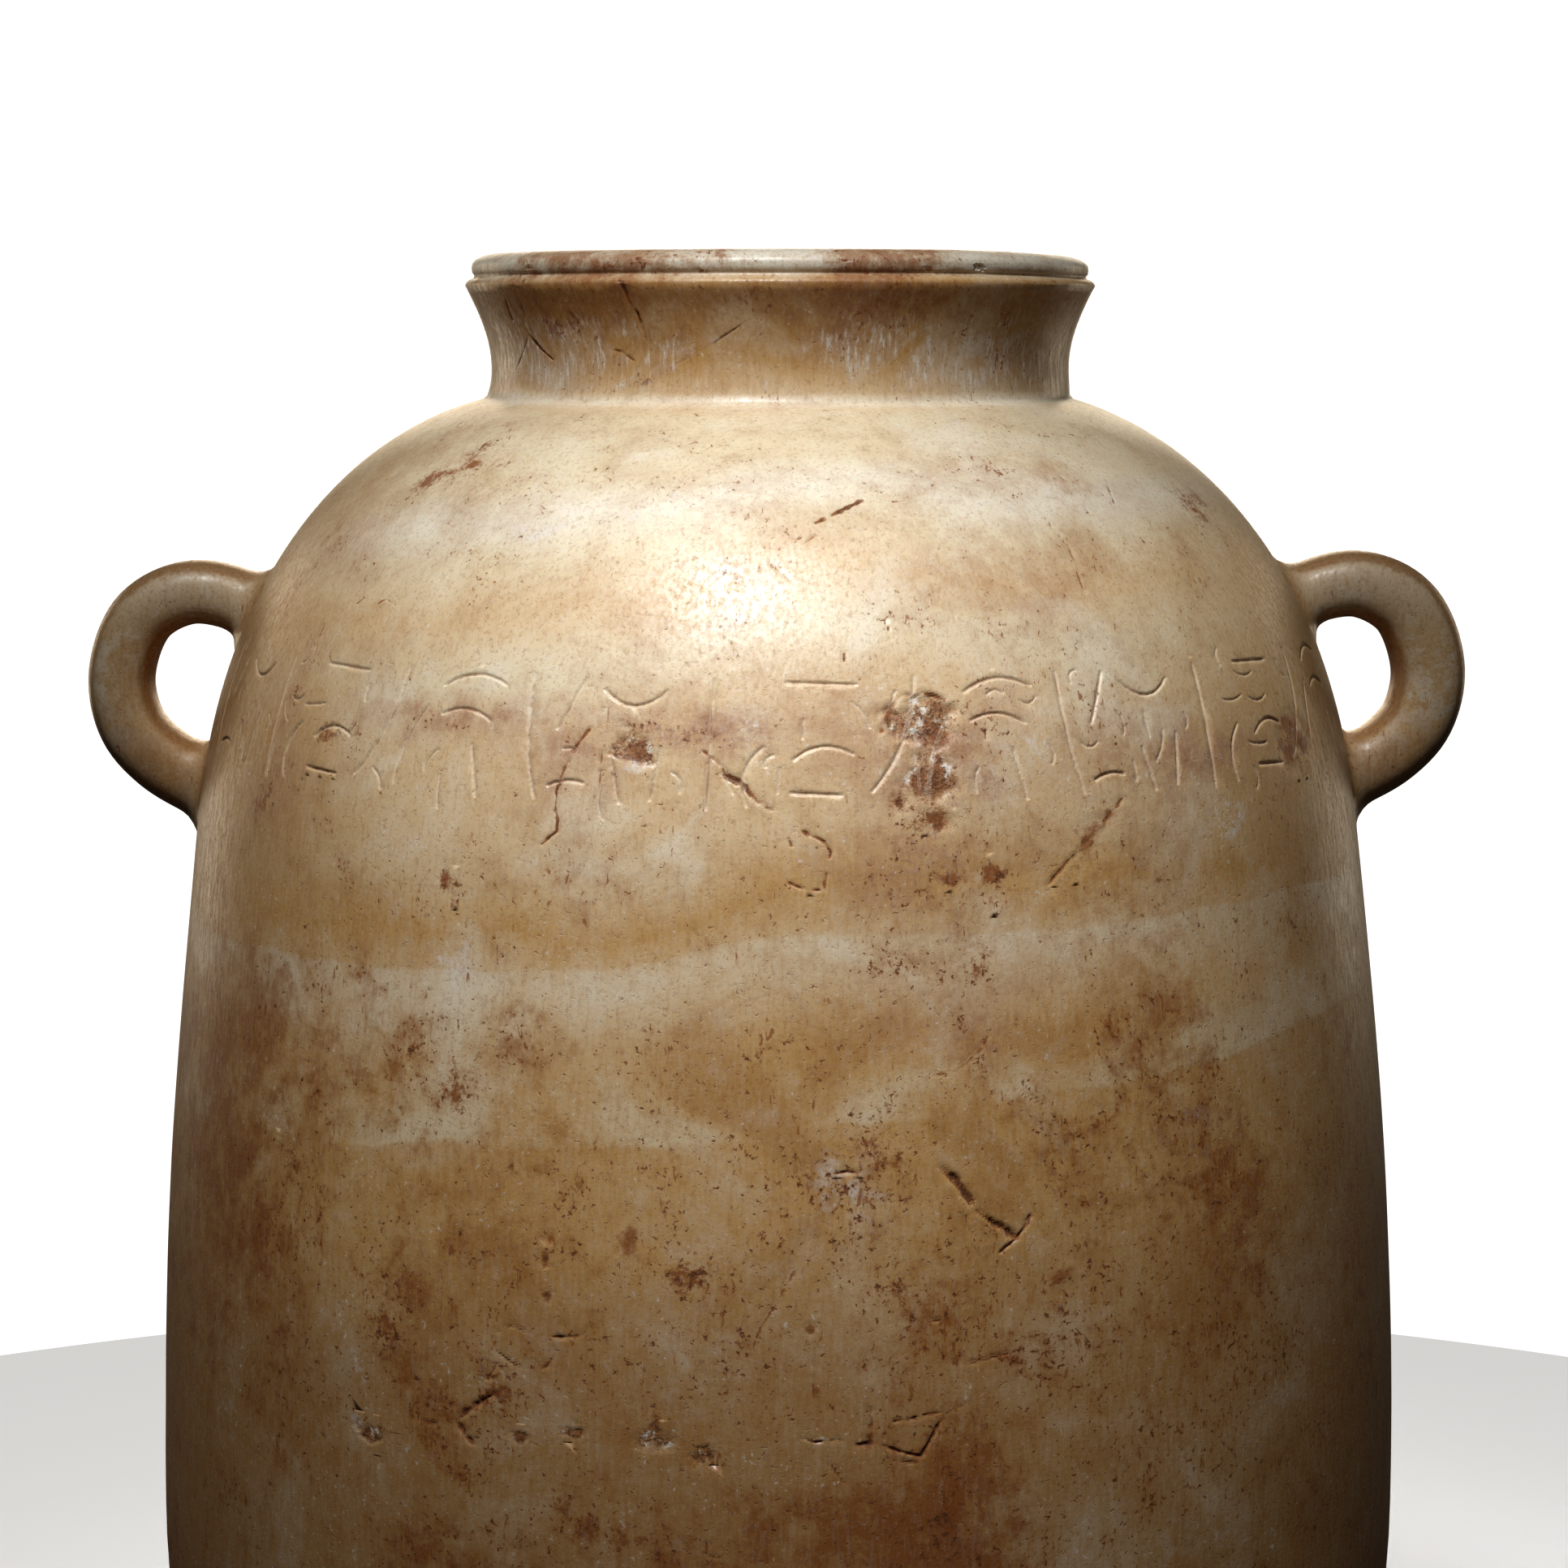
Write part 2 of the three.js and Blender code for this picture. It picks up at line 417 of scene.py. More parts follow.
@dataclass(frozen=True)
class Handle:
    """One looped bar, bent along its centre line and spread where it meets the wall."""

    side: int
    out: float
    lift: float
    crown: float
    middle: float
    foot: float
    width: float = 26.0
    squareness: float = 2.5
    fillet: float = 5.0
    fillet_reach: float = 8.0
    loop: tuple[tuple[float, float], ...] = (
        (156.0, 71.0),
        (166.0, 64.0),
        (183.5, 60.4),
        (198.6, 67.8),
        (206.0, 86.3),
        (203.0, 102.5),
        (194.4, 112.6),
        (182.0, 120.0),
        (170.0, 125.0),
    )

    def centre_line(self, outline: Outline, count: int = 400) -> np.ndarray:
        """The bar's centre line, a centripetal curve through the loop's points.

        Args:
            outline: the jar's outline, for the height where the shoulder starts.
            count: how many points to return, evenly spaced.

        Returns:
            The points as distance from the axis and height, in millimetres.
        """
        p = np.array([(r + self.out, outline.shoulder_z - d + self.lift) for r, d in self.loop])
        p = np.vstack([2 * p[0] - p[1], p, 2 * p[-1] - p[-2]])
        dense = []
        for i in range(1, len(p) - 2):
            q = p[i - 1 : i + 3]
            knots = np.concatenate([[0.0], np.cumsum(np.linalg.norm(np.diff(q, axis=0), axis=1) ** 0.5)])
            for t in np.linspace(knots[1], knots[2], 40, endpoint=False):
                level = list(q)
                for spans in ((0, 1), (1, 2), (2, 3)), ((0, 2), (1, 3)), ((1, 2),):
                    level = [
                        self._blend(level[k : k + 2], knots[list(ends)], t)
                        for k, ends in enumerate(spans)
                    ]
                dense.append(level[0])
        dense.append(p[-2])
        line = np.array(dense)
        length = np.concatenate([[0.0], np.cumsum(np.linalg.norm(np.diff(line, axis=0), axis=1))])
        even = np.linspace(0.0, length[-1], count)
        return np.stack([np.interp(even, length, line[:, k]) for k in (0, 1)], axis=1)

    @staticmethod
    def _blend(pair: Sequence[np.ndarray], ends: Sequence[float], t: float) -> np.ndarray:
        """A straight blend of two points, the first at one end and the second at the other."""
        return (pair[0] * (ends[1] - t) + pair[1] * (t - ends[0])) / (ends[1] - ends[0])

    def bar(self, u: np.ndarray) -> np.ndarray:
        """The bar's thickness in the loop's plane, at shares of its length.

        Args:
            u: the shares, 0 at the upper root and 1 at the lower one.

        Returns:
            The thicknesses in millimetres.
        """
        first = u < 0.5
        v = np.where(first, u * 2, u * 2 - 1)
        v = v * v * (3 - 2 * v)
        return np.where(
            first,
            self.crown + (self.middle - self.crown) * v,
            self.middle + (self.foot - self.middle) * v,
        )

    def build(self, outline: Outline, surface: Surface) -> bpy.types.Object:
        """Makes the bar as a closed mesh of its own, to be joined to the body.

        Args:
            outline: the jar's outline.
            surface: the body's outside, which the bar spreads towards.

        Returns:
            The bar's object.
        """
        bm = bmesh.new()
        bmesh.ops.create_cone(
            bm, cap_ends=True, cap_tris=False, segments=28, radius1=1.0, radius2=1.0, depth=1.0
        )
        upright = [e for e in bm.edges if abs(e.verts[0].co.z - e.verts[1].co.z) > 0.5]
        bmesh.ops.subdivide_edges(bm, edges=upright, cuts=63, use_grid_fill=True)
        bm.verts.ensure_lookup_table()
        unit = np.array([tuple(v.co) for v in bm.verts])
        u = np.clip(unit[:, 2] + 0.5, 0.0, 1.0)
        line = self.centre_line(outline)
        place = u * (len(line) - 1)
        tangent = np.gradient(line, axis=0)
        tangent /= np.linalg.norm(tangent, axis=1)[:, None]
        index = np.arange(len(line))
        centre = np.stack([np.interp(place, index, line[:, k]) for k in (0, 1)], axis=1)
        ahead = np.stack([np.interp(place, index, tangent[:, k]) for k in (0, 1)], axis=1)
        squared = np.sign(unit[:, :2]) * np.abs(unit[:, :2]) ** (2 / self.squareness)

        def at(fillet: np.ndarray | float) -> np.ndarray:
            """The bar's points, spread by a fillet, in millimetres.

            Args:
                fillet: how far the surface stands out at each point.

            Returns:
                The points.
            """
            thick = squared[:, 0] * (self.bar(u) / 2 + fillet)
            wide = squared[:, 1] * (self.width / 2 + fillet)
            return np.stack(
                [centre[:, 0] - ahead[:, 1] * thick, wide, centre[:, 1] + ahead[:, 0] * thick], axis=1
            )

        plain = at(0.0)
        wall = surface.radius(plain[:, 2] * MM) / MM
        near = np.clip(1 - (np.hypot(plain[:, 0], plain[:, 1]) - wall) / self.fillet_reach, 0, 1)
        bent = at(self.fillet * (1 - np.sqrt(1 - near**2))) * MM
        bent[:, :2] *= self.side
        for v, co in zip(bm.verts, bent):
            v.co = Vector(co)
        bmesh.ops.recalc_face_normals(bm, faces=bm.faces)
        return as_object("handle_bar", bm)


@dataclass(frozen=True)
class Cut:
    """A groove along a line over the outside: a stroke, a gouge or a crack."""

    path: tuple[tuple[float, float], ...]
    width: float
    depth: float
    mark: Mark
    ragged: float = 0.0
    strength: float = 1.0

    def line(self, surface: Surface) -> np.ndarray:
        """The groove's middle line on the outside, in steps of at most 1.5 mm.

        Args:
            surface: the body's outside.

        Returns:
            The line's points, in metres.
        """
        points = []
        for (a0, z0), (a1, z1) in zip(self.path, self.path[1:]):
            length = math.hypot((a1 - a0) * 3.2, z1 - z0)
            steps = max(1, math.ceil(length / 1.5))
            points += [
                surface.point(a0 + (a1 - a0) * k / steps, z0 + (z1 - z0) * k / steps)
                for k in range(steps)
            ]
        points.append(surface.point(*self.path[-1]))
        return np.array(points)


@dataclass(frozen=True)
class Patch:
    """A soft-edged place on the outside, such as a stain, a scuff or a chip."""

    azimuth: float
    height: float
    across: float
    up: float
    mark: Mark
    strength: float = 1.0
    turn: float = 0.0
    depth: float = 0.0
    ragged: float = 0.5


@dataclass(frozen=True)
class Swell:
    """A place where the hand-worked wall stands in or out of the true turned form."""

    azimuth: float
    height: float
    reach_degrees: float
    reach: float
    amount: float


@dataclass(frozen=True)
class StrokeBand:
    """The rows of incised strokes round the front: plain strokes and arcs, not letters."""

    middle: float = 396.75
    reach: float = 76.0
    cells: int = 18
    width: float = 1.3
    depth: float = 0.62
    tick_count: int = 150
    tick_width: float = 0.95
    tick_depth: float = 0.40
    apart: float = 2.6
    seed: int = 7
    groups: tuple[tuple[tuple[float, ...], ...], ...] = (
        ((-5, 0, 34, 97, 1.5), (6, 9, 16, 64, 0), (6.5, -12, 11, 6, 1.2)),
        ((1, 11, 18, 0, -4.4), (-6, -9, 15, 100, 0), (5, -11, 13, 76, 0)),
        ((-5, -1, 35, 88, 0), (6, -9, 17, 74, 3.4)),
        ((0, 15, 20, 2, 0), (0, -3, 17, -5, 3), (2, -14, 15, 3, 0)),
        ((-4.5, 1, 34, 66, -3), (6, -4, 24, 70, 2)),
        ((0, 14, 21, -3, 3.2), (1, 5, 17, 4, 2.6), (-4, -10, 15, 78, 0)),
    )

    def cuts(self, surface: Surface) -> list[Cut]:
        """Every stroke of the band as a groove.

        Args:
            surface: the body's outside.

        Returns:
            The grooves.
        """
        cell = 2 * self.reach / self.cells
        made = []
        for i in range(self.cells):
            flip = -1 if i % 2 else 1
            for across, up, length, tilt, bow in self.groups[i % len(self.groups)]:
                z = self.middle + up
                shift = math.degrees(flip * across / surface.girth(z))
                start = -self.reach + cell * (i + 0.5) + shift
                path = self.stroke(surface, (start, z), length, math.radians(flip * tilt), bow, 8)
                made.append(Cut(path, self.width, self.depth, Mark.SIGN, 0.12))
        return made + self.ticks(surface, made)

    @staticmethod
    def stroke(
        surface: Surface,
        middle: tuple[float, float],
        length: float,
        lean: float,
        bow: float,
        parts: int,
    ) -> tuple[tuple[float, float], ...]:
        """The path of one stroke, straight or bowed.

        Args:
            surface: the body's outside.
            middle: its middle, as degrees from the front and height.
            length: its length in millimetres.
            lean: its lean from level, in radians.
            bow: how far its middle stands off its ends' line, in millimetres.
            parts: how many straight parts it is made of.

        Returns:
            Its points, as degrees from the front and heights.
        """
        start, z = middle
        path = []
        for k in range(parts + 1):
            s = -1 + 2 * k / parts
            run, rise = s * length / 2, bow * (0.5 - s * s)
            along = run * math.cos(lean) - rise * math.sin(lean)
            up = run * math.sin(lean) + rise * math.cos(lean)
            path.append((start + math.degrees(along / surface.girth(z)), z + up))
        return tuple(path)

    def ticks(self, surface: Surface, long: list[Cut]) -> list[Cut]:
        """Fine short strokes and arcs that fill the band and never touch one another.

        Args:
            surface: the body's outside.
            long: the long strokes, which they keep clear of.

        Returns:
            The grooves.
        """
        rng = random.Random(self.seed)
        made = []
        taken = np.vstack([cut.line(surface) for cut in long])
        for i in range(self.tick_count):
            z = self.middle + rng.uniform(-18.5, 18.5)
            start = -self.reach + 2 * self.reach * (i + rng.uniform(0.1, 0.9)) / self.tick_count
            lean = math.radians(rng.choice((0, 0, 90, 90, 60, 120)) + rng.uniform(-9, 9))
            length, bow = rng.uniform(4.0, 11.0), rng.uniform(-1.6, 1.6)
            path = self.stroke(surface, (start, z), length, lean, bow, 4)
            tick = Cut(path, self.tick_width, self.tick_depth, Mark.SIGN, 0.15)
            line = tick.line(surface)
            if np.linalg.norm(taken[:, None] - line[None], axis=2).min() > self.apart * MM:
                made.append(tick)
                taken = np.vstack([taken, line])
        return made


# The gouges, cracks and nicks of the front: what each is, its width and depth in millimetres, how
# dark its dirt is, and the columns and rows of the photograph's pixels that it runs through.
GOUGES = (
    ("crack beside a long upright line", 1.3, 0.9, 1.0, ((728, 895), (705, 925), (693, 950), (684, 975),
        (684, 1000), (686, 1012), (684, 1025), (664, 1042))),
    ("long upright line", 1.1, 0.7, 0.55, ((748, 850), (749, 870), (740, 940), (735, 985), (732, 1008))),
    ("gouge", 2.4, 1.3, 1.0, ((890, 955), (912, 965), (925, 980), (940, 993), (955, 1000))),
    ("gouge", 1.6, 1.0, 0.9, ((865, 925), (890, 945), (893, 965))),
    ("hook", 1.6, 0.9, 0.9, ((978, 1023), (972, 1035), (976, 1045))),
    ("hook", 1.5, 0.8, 0.9, ((985, 1023), (1000, 1030), (1015, 1037), (1024, 1050), (1022, 1060))),
    ("hook", 1.4, 0.8, 0.9, ((1020, 1075), (1016, 1090), (1018, 1100))),
    ("hook", 1.4, 0.7, 0.9, ((970, 1088), (990, 1096), (1012, 1098))),
    ("short mark", 1.3, 0.7, 0.8, ((1040, 803), (1041, 816))),
    ("short mark", 1.3, 0.7, 0.8, ((1043, 960), (1045, 992))),
    ("short mark", 1.2, 0.7, 0.8, ((1055, 903), (1056, 916))),
    ("crack over the big scar", 2.2, 1.4, 1.0, ((1085, 905), (1092, 885), (1100, 868), (1108, 859),
        (1130, 853), (1152, 856), (1168, 864))),
    ("short mark", 1.4, 0.8, 0.9, ((1215, 898), (1216, 912))),
    ("stain's crack", 1.8, 0.8, 0.8, ((1290, 1095), (1315, 1065), (1340, 1040), (1365, 1010),
        (1385, 985), (1375, 960))),
    ("fine line", 0.8, 0.4, 0.45, ((901, 760), (903, 800), (902, 850))),
    ("mark", 1.9, 0.9, 1.0, ((1003, 645), (1018, 638), (1030, 632), (1048, 623), (1066, 615))),
    ("mark", 1.2, 0.6, 0.7, ((990, 670), (1000, 663), (1010, 655))),
    ("mark", 1.2, 0.6, 0.7, ((1098, 618), (1116, 617))),
    ("mark", 1.1, 0.5, 0.7, ((1080, 668), (1090, 666))),
    ("branch", 1.2, 0.6, 0.8, ((1078, 762), (1090, 764), (1098, 755))),
    ("branch", 1.1, 0.6, 0.8, ((1090, 764), (1096, 778))),
    ("mark", 1.1, 0.5, 0.7, ((1083, 793), (1097, 787))),
    ("fine line", 0.9, 0.45, 0.65, ((1273, 618), (1290, 640), (1318, 675), (1330, 710), (1342, 745))),
    ("mark", 1.2, 0.6, 0.8, ((1365, 598), (1375, 622))),
    ("mark", 1.0, 0.5, 0.6, ((580, 676), (600, 666))),
    ("fine line", 0.9, 0.45, 0.6, ((945, 690), (960, 704), (978, 718))),
    ("fine line", 0.9, 0.45, 0.6, ((898, 688), (905, 705), (912, 722))),
    ("fine line", 0.9, 0.45, 0.6, ((840, 714), (855, 722), (872, 730))),
    ("fine line", 0.9, 0.45, 0.6, ((755, 808), (753, 832))),
    ("mark", 1.1, 0.5, 0.7, ((508, 773), (495, 787))),
    ("mark", 1.2, 0.6, 0.8, ((852, 508), (862, 514), (860, 522))),
    ("mark", 1.1, 0.5, 0.7, ((890, 518), (916, 518))),
    ("long gouge", 3.0, 1.7, 1.0, ((1158, 1436), (1180, 1455), (1193, 1475), (1205, 1492), (1222, 1505),
        (1240, 1515), (1255, 1528))),
    ("gouge's branch", 1.6, 0.9, 0.9, ((1272, 1495), (1262, 1515), (1250, 1530), (1232, 1545))),
    ("gouge's branch", 1.5, 0.8, 0.8, ((1190, 1495), (1195, 1515), (1207, 1527))),
    ("bent gouge", 2.2, 1.2, 1.0, ((628, 1709), (600, 1722), (580, 1735), (562, 1750), (570, 1765),
        (583, 1783))),
    ("small triangle", 1.4, 0.8, 0.9, ((598, 1702), (612, 1680), (626, 1700))),
    ("mark", 1.3, 0.7, 0.9, ((678, 1648), (700, 1648), (720, 1645))),
    ("mark", 1.0, 0.5, 0.7, ((693, 1610), (697, 1645))),
    ("mark", 1.3, 0.7, 0.8, ((687, 1660), (675, 1680), (664, 1690))),
    ("mark", 1.3, 0.7, 0.8, ((603, 1643), (612, 1665), (625, 1676), (641, 1686))),
    ("arc", 1.1, 0.6, 0.7, ((610, 1641), (630, 1633), (648, 1643))),
    ("mark", 1.2, 0.6, 0.7, ((540, 1665), (555, 1690), (566, 1712))),
    ("mark", 1.4, 0.7, 0.8, ((524, 1753), (537, 1754))),
    ("dark stain line", 1.4, 0.5, 0.8, ((980, 1565), (960, 1600), (935, 1640), (925, 1672))),
    ("dashed gouge", 1.6, 0.9, 0.9, ((985, 1773), (1000, 1778), (1016, 1777))),
    ("dashed gouge", 1.5, 0.8, 0.9, ((1022, 1777), (1037, 1775))),
    ("dashed gouge", 1.5, 0.8, 0.9, ((1053, 1781), (1073, 1780), (1074, 1757), (1073, 1733))),
    ("dashed gouge", 1.4, 0.8, 0.9, ((1100, 1753), (1116, 1750), (1131, 1747))),
    ("dashed gouge", 1.5, 0.8, 0.9, ((1136, 1745), (1162, 1741))),
    ("dashed gouge", 1.7, 0.9, 0.9, ((1161, 1748), (1150, 1770), (1135, 1795), (1110, 1790),
        (1087, 1781))),
    ("dashed gouge", 1.3, 0.7, 0.8, ((1112, 1802), (1131, 1802))),
    ("dashed gouge", 1.3, 0.7, 0.8, ((1174, 1739), (1191, 1730))),
    ("dashed gouge", 1.2, 0.6, 0.8, ((1204, 1721), (1216, 1712))),
    ("dashed gouge", 1.5, 0.8, 0.8, ((1024, 1804), (1032, 1816), (1041, 1829))),
    ("mark", 1.2, 0.6, 0.8, ((1175, 1654), (1178, 1670), (1180, 1686))),
    ("mark", 1.1, 0.6, 0.7, ((1194, 1681), (1220, 1674), (1246, 1667))),
    ("short mark", 1.2, 0.6, 0.8, ((1149, 1628), (1161, 1626))),
    ("mark", 1.3, 0.7, 0.9, ((1028, 1447), (1045, 1444), (1061, 1446))),
    ("mark", 1.2, 0.6, 0.8, ((983, 1441), (998, 1439))),
    ("branching crack", 1.0, 0.5, 0.7, ((1222, 1268), (1212, 1290), (1190, 1312), (1165, 1325),
        (1135, 1322))),
    ("branching crack", 0.9, 0.45, 0.7, ((1190, 1312), (1215, 1322))),
    ("branching crack", 0.9, 0.4, 0.6, ((1240, 1330), (1262, 1350), (1290, 1362))),
    ("neck crack", 1.7, 1.1, 1.0, ((758, 345), (768, 370), (778, 385), (784, 400), (791, 422))),
    ("neck crack", 1.6, 1.0, 1.0, ((626, 348), (634, 370), (641, 393))),
    ("neck crack", 1.3, 0.8, 0.9, ((616, 368), (625, 396))),
    ("neck crack", 1.3, 0.8, 0.9, ((636, 398), (650, 418), (662, 432), (676, 444))),
    ("neck crack", 1.0, 0.6, 0.8, ((645, 410), (640, 430), (631, 452))),
    ("neck mark", 1.3, 0.6, 0.8, ((741, 430), (760, 433), (776, 446))),
    ("worn edge", 0.9, 0.4, 0.5, ((930, 385), (900, 405), (870, 425), (825, 450))),
    ("worn line", 1.0, 0.5, 0.6, ((1015, 1640), (1002, 1700), (1000, 1760), (1004, 1830), (1003, 1880))),
    ("low mark", 1.2, 0.6, 0.8, ((870, 1900), (872, 1915), (881, 1922))),
    ("left mark", 1.1, 0.6, 0.7, ((436, 745), (446, 738), (452, 728))),
    ("left mark", 1.1, 0.5, 0.7, ((463, 745), (475, 737), (486, 745), (492, 735))),
    ("left mark", 1.1, 0.5, 0.6, ((333, 1398), (352, 1408), (358, 1420))),
    ("left mark", 1.2, 0.6, 0.7, ((352, 1445), (358, 1462))),
)

# The soft-edged marks by their kind: what each is, the pixel at its middle, half its width and
# height in pixels, its strength, its turn in degrees, its depth in millimetres and its raggedness.
PATCHES = {
    Mark.PINK: (
        ("pink zone", (560, 885), (170, 36), 0.9, 2, 0, 0.9),
        ("pink zone", (700, 930), (60, 70), 0.8, 0, 0, 0.9),
        ("pink zone", (860, 905), (160, 42), 0.9, 0, 0, 0.9),
        ("pink zone", (1160, 930), (150, 90), 0.9, 0, 0, 0.9),
        ("pink zone", (1330, 930), (60, 70), 0.55, 0, 0, 0.9),
        ("pink zone", (1480, 930), (110, 50), 0.8, 0, 0, 0.9),
        ("pink fall", (1120, 1070), (110, 70), 0.8, 0, 0, 0.9),
        ("pink fall", (1180, 1240), (140, 110), 0.55, 0, 0, 0.9),
        ("pink fall", (330, 960), (40, 90), 0.6, 0, 0, 0.9),
        ("shoulder stain", (1330, 600), (90, 60), 0.5, -25, 0, 1.0),
        ("shoulder stain", (1230, 720), (150, 60), 0.4, 0, 0, 1.0),
        ("neck stain", (1040, 400), (70, 50), 0.5, 0, 0, 1.0),
    ),
    Mark.STAIN: (
        ("stain left of pit", (830, 900), (60, 18), 0.8, -8, 0, 0.9),
        ("scar's tail", (1135, 1000), (40, 30), 1.0, 0, 0, 1.0),
        ("right dark stain", (1600, 915), (22, 50), 1.0, 0, 0.3, 1.0),
        ("stains", (420, 905), (46, 22), 0.9, 0, 0, 1.0),
        ("streak", (320, 985), (14, 70), 0.8, 0, 0, 0.9),
        ("speckle", (552, 1092), (20, 26), 1.0, 0, 0.2, 1.1),
        ("speckle", (1088, 1088), (40, 34), 0.75, 0, 0, 1.1),
        ("speckle", (1170, 1082), (24, 14), 0.8, 0, 0.2, 1.1),
        ("rust", (1232, 1090), (22, 41), 0.7, 0, 0.3, 1.1),
        ("rust", (1215, 1190), (26, 36), 0.8, 0, 0, 1.1),
        ("shoulder stain", (545, 585), (65, 35), 0.62, 18, 0, 1.0),
        ("shoulder stain", (608, 548), (55, 21), 0.66, 14, 0, 1.0),
        ("shoulder stain", (408, 660), (16, 30), 0.8, -25, 0, 1.0),
        ("shoulder stain", (720, 520), (60, 12), 0.45, 0, 0, 1.0),
        ("shoulder stain", (1500, 640), (60, 60), 0.4, -30, 0, 1.0),
        ("rust", (855, 1582), (34, 38), 0.95, 0, 0, 1.1),
        ("rust", (828, 1642), (26, 18), 0.8, 0, 0, 1.1),
        ("rust", (1095, 1585), (44, 42), 0.7, 0, 0, 1.1),
        ("rust", (1080, 1390), (34, 60), 0.75, 0, 0, 1.1),
        ("rust", (560, 1320), (60, 70), 0.55, 0, 0, 1.1),
        ("rust", (540, 1255), (26, 18), 0.7, 0, 0, 1.1),
        ("rust", (600, 1700), (80, 60), 0.55, 0, 0, 1.1),
        ("rust", (470, 1620), (40, 60), 0.6, 20, 0, 1.1),
        ("rust", (345, 1610), (30, 50), 0.55, 0, 0, 1.1),
        ("rust", (360, 1430), (30, 40), 0.6, 0, 0, 1.1),
        ("rust", (700, 1480), (30, 50), 0.6, 20, 0, 1.1),
        ("rust", (740, 1890), (90, 50), 0.6, 0, 0, 1.1),
        ("rust", (880, 1690), (80, 50), 0.5, 0, 0, 1.1),
        ("rust", (1190, 1890), (40, 36), 0.8, 0, 0, 1.1),
        ("rust", (1300, 1640), (60, 90), 0.4, 0, 0, 1.1),
        ("rust", (1430, 1110), (20, 60), 0.4, 0, 0, 1.1),
        ("neck stain", (714, 356), (16, 9), 0.9, 0, 0, 1.0),
        ("neck stain", (1002, 358), (14, 10), 0.9, 0, 0, 1.0),
        ("neck stain", (930, 366), (60, 16), 0.6, 0, 0, 1.0),
        ("neck stain", (690, 400), (60, 30), 0.45, 0, 0, 1.0),
        ("neck stain", (830, 400), (60, 40), 0.4, 0, 0, 1.0),
        ("neck stain", (800, 470), (60, 10), 0.5, 0, 0, 1.0),
        ("rim speck", (662, 336), (14, 4), 0.9, 0, 0, 0.8),
        ("rim stain", (740, 326), (30, 6), 0.7, 0, 0, 0.9),
    ),
    Mark.PALE: (
        ("pale rim of the pit", (795, 945), (30, 9), 1.0, 8, 0, 0.8),
        ("glint in scar", (1132, 905), (20, 22), 1.0, 20, 0, 0.8),
        # These two crackle patches lie where the shoulder's highlight falls: their pale paint is a painted
        # highlight as well as crackle.
        ("crackle_and_painted_highlight", (880, 775), (38, 40), 0.6, 0, 0, 1.0),
        ("crackle_and_painted_highlight", (930, 720), (90, 50), 0.45, 0, 0, 1.0),
        ("pale cloud", (640, 660), (180, 28), 0.5, 14, 0, 0.8),
        ("pale cloud", (820, 625), (80, 26), 0.6, 10, 0, 0.8),
        ("grey patch", (1040, 1480), (50, 60), 0.75, 0, 0, 0.9),
        ("white patch", (565, 1195), (34, 34), 1.0, 0, 0, 0.9),
        ("white patch", (545, 1170), (16, 24), 0.8, 0, 0, 0.9),
        ("white patch", (585, 1222), (40, 10), 0.7, -15, 0, 0.9),
        ("pale patch", (430, 1700), (40, 80), 0.45, 0, 0, 0.9),
        ("pale patch", (1270, 930), (60, 60), 0.4, 0, 0, 0.9),
        ("pale patch", (1520, 1010), (60, 40), 0.4, 0, 0, 0.9),
        ("pale patch", (1480, 1400), (60, 40), 0.35, 0, 0, 0.9),
        ("neck streaks", (1195, 425), (75, 34), 0.7, 0, 0, 1.0),
        ("neck streaks", (670, 458), (40, 26), 0.6, 0, 0, 1.0),
        ("neck streaks", (850, 425), (34, 18), 0.5, 0, 0, 1.0),
        ("neck streaks", (1060, 445), (60, 30), 0.5, 0, 0, 1.0),
        ("rim chip", (1202, 328), (9, 6), 1.0, 0, 0.6, 0.8),
    ),
    Mark.SCAR: (
        ("pit beside the crack", (786, 918), (34, 30), 1.0, 0, 0.9, 1.0),
        ("big scar", (1140, 890), (52, 38), 1.0, 0, 1.2, 1.0),
        ("scar's foot", (1150, 965), (42, 58), 0.9, -14, 0.8, 1.1),
        ("pitted", (810, 1770), (30, 24), 0.9, 0, 0.7, 1.2),
        ("pitted", (868, 1792), (18, 10), 0.9, 0, 0.5, 1.2),
        ("pitted", (706, 1767), (14, 10), 0.8, 0, 0.5, 1.2),
        ("pitted", (640, 1771), (12, 9), 0.8, 0, 0.5, 1.2),
        ("pitted", (455, 1765), (16, 16), 0.7, 0, 0.5, 1.2),
    ),
    Mark.DIRT: (
        ("diagonal stain", (1345, 1035), (22, 70), 0.55, -38, 0.3, 1.1),
        ("dark spot", (671, 1550), (9, 12), 0.9, 0, 0.4, 0.9),
        ("dark spot", (672, 1596), (8, 10), 0.8, 0, 0.3, 0.9),
        ("dark spot", (775, 1526), (8, 8), 0.8, 0, 0.3, 0.9),
        ("dark spot", (771, 1548), (8, 8), 0.8, 0, 0.3, 0.9),
        ("dark spot", (997, 1640), (8, 10), 0.8, 0, 0.3, 0.9),
        ("dark spot", (1305, 1571), (7, 7), 0.9, 0, 0.3, 0.9),
        ("dark spot", (630, 1437), (8, 8), 0.8, 0, 0.3, 0.9),
        ("rim speck", (780, 316), (6, 5), 0.9, 0, 0.3, 0.8),
        ("rim speck", (645, 328), (6, 4), 0.8, 0, 0.3, 0.8),
        ("rim speck", (1035, 319), (6, 4), 0.8, 0, 0.3, 0.8),
        ("rim speck", (1140, 330), (10, 4), 0.7, 0, 0.2, 0.8),
        ("rim speck", (1295, 345), (8, 3), 0.7, 0, 0.2, 0.8),
    ),
}


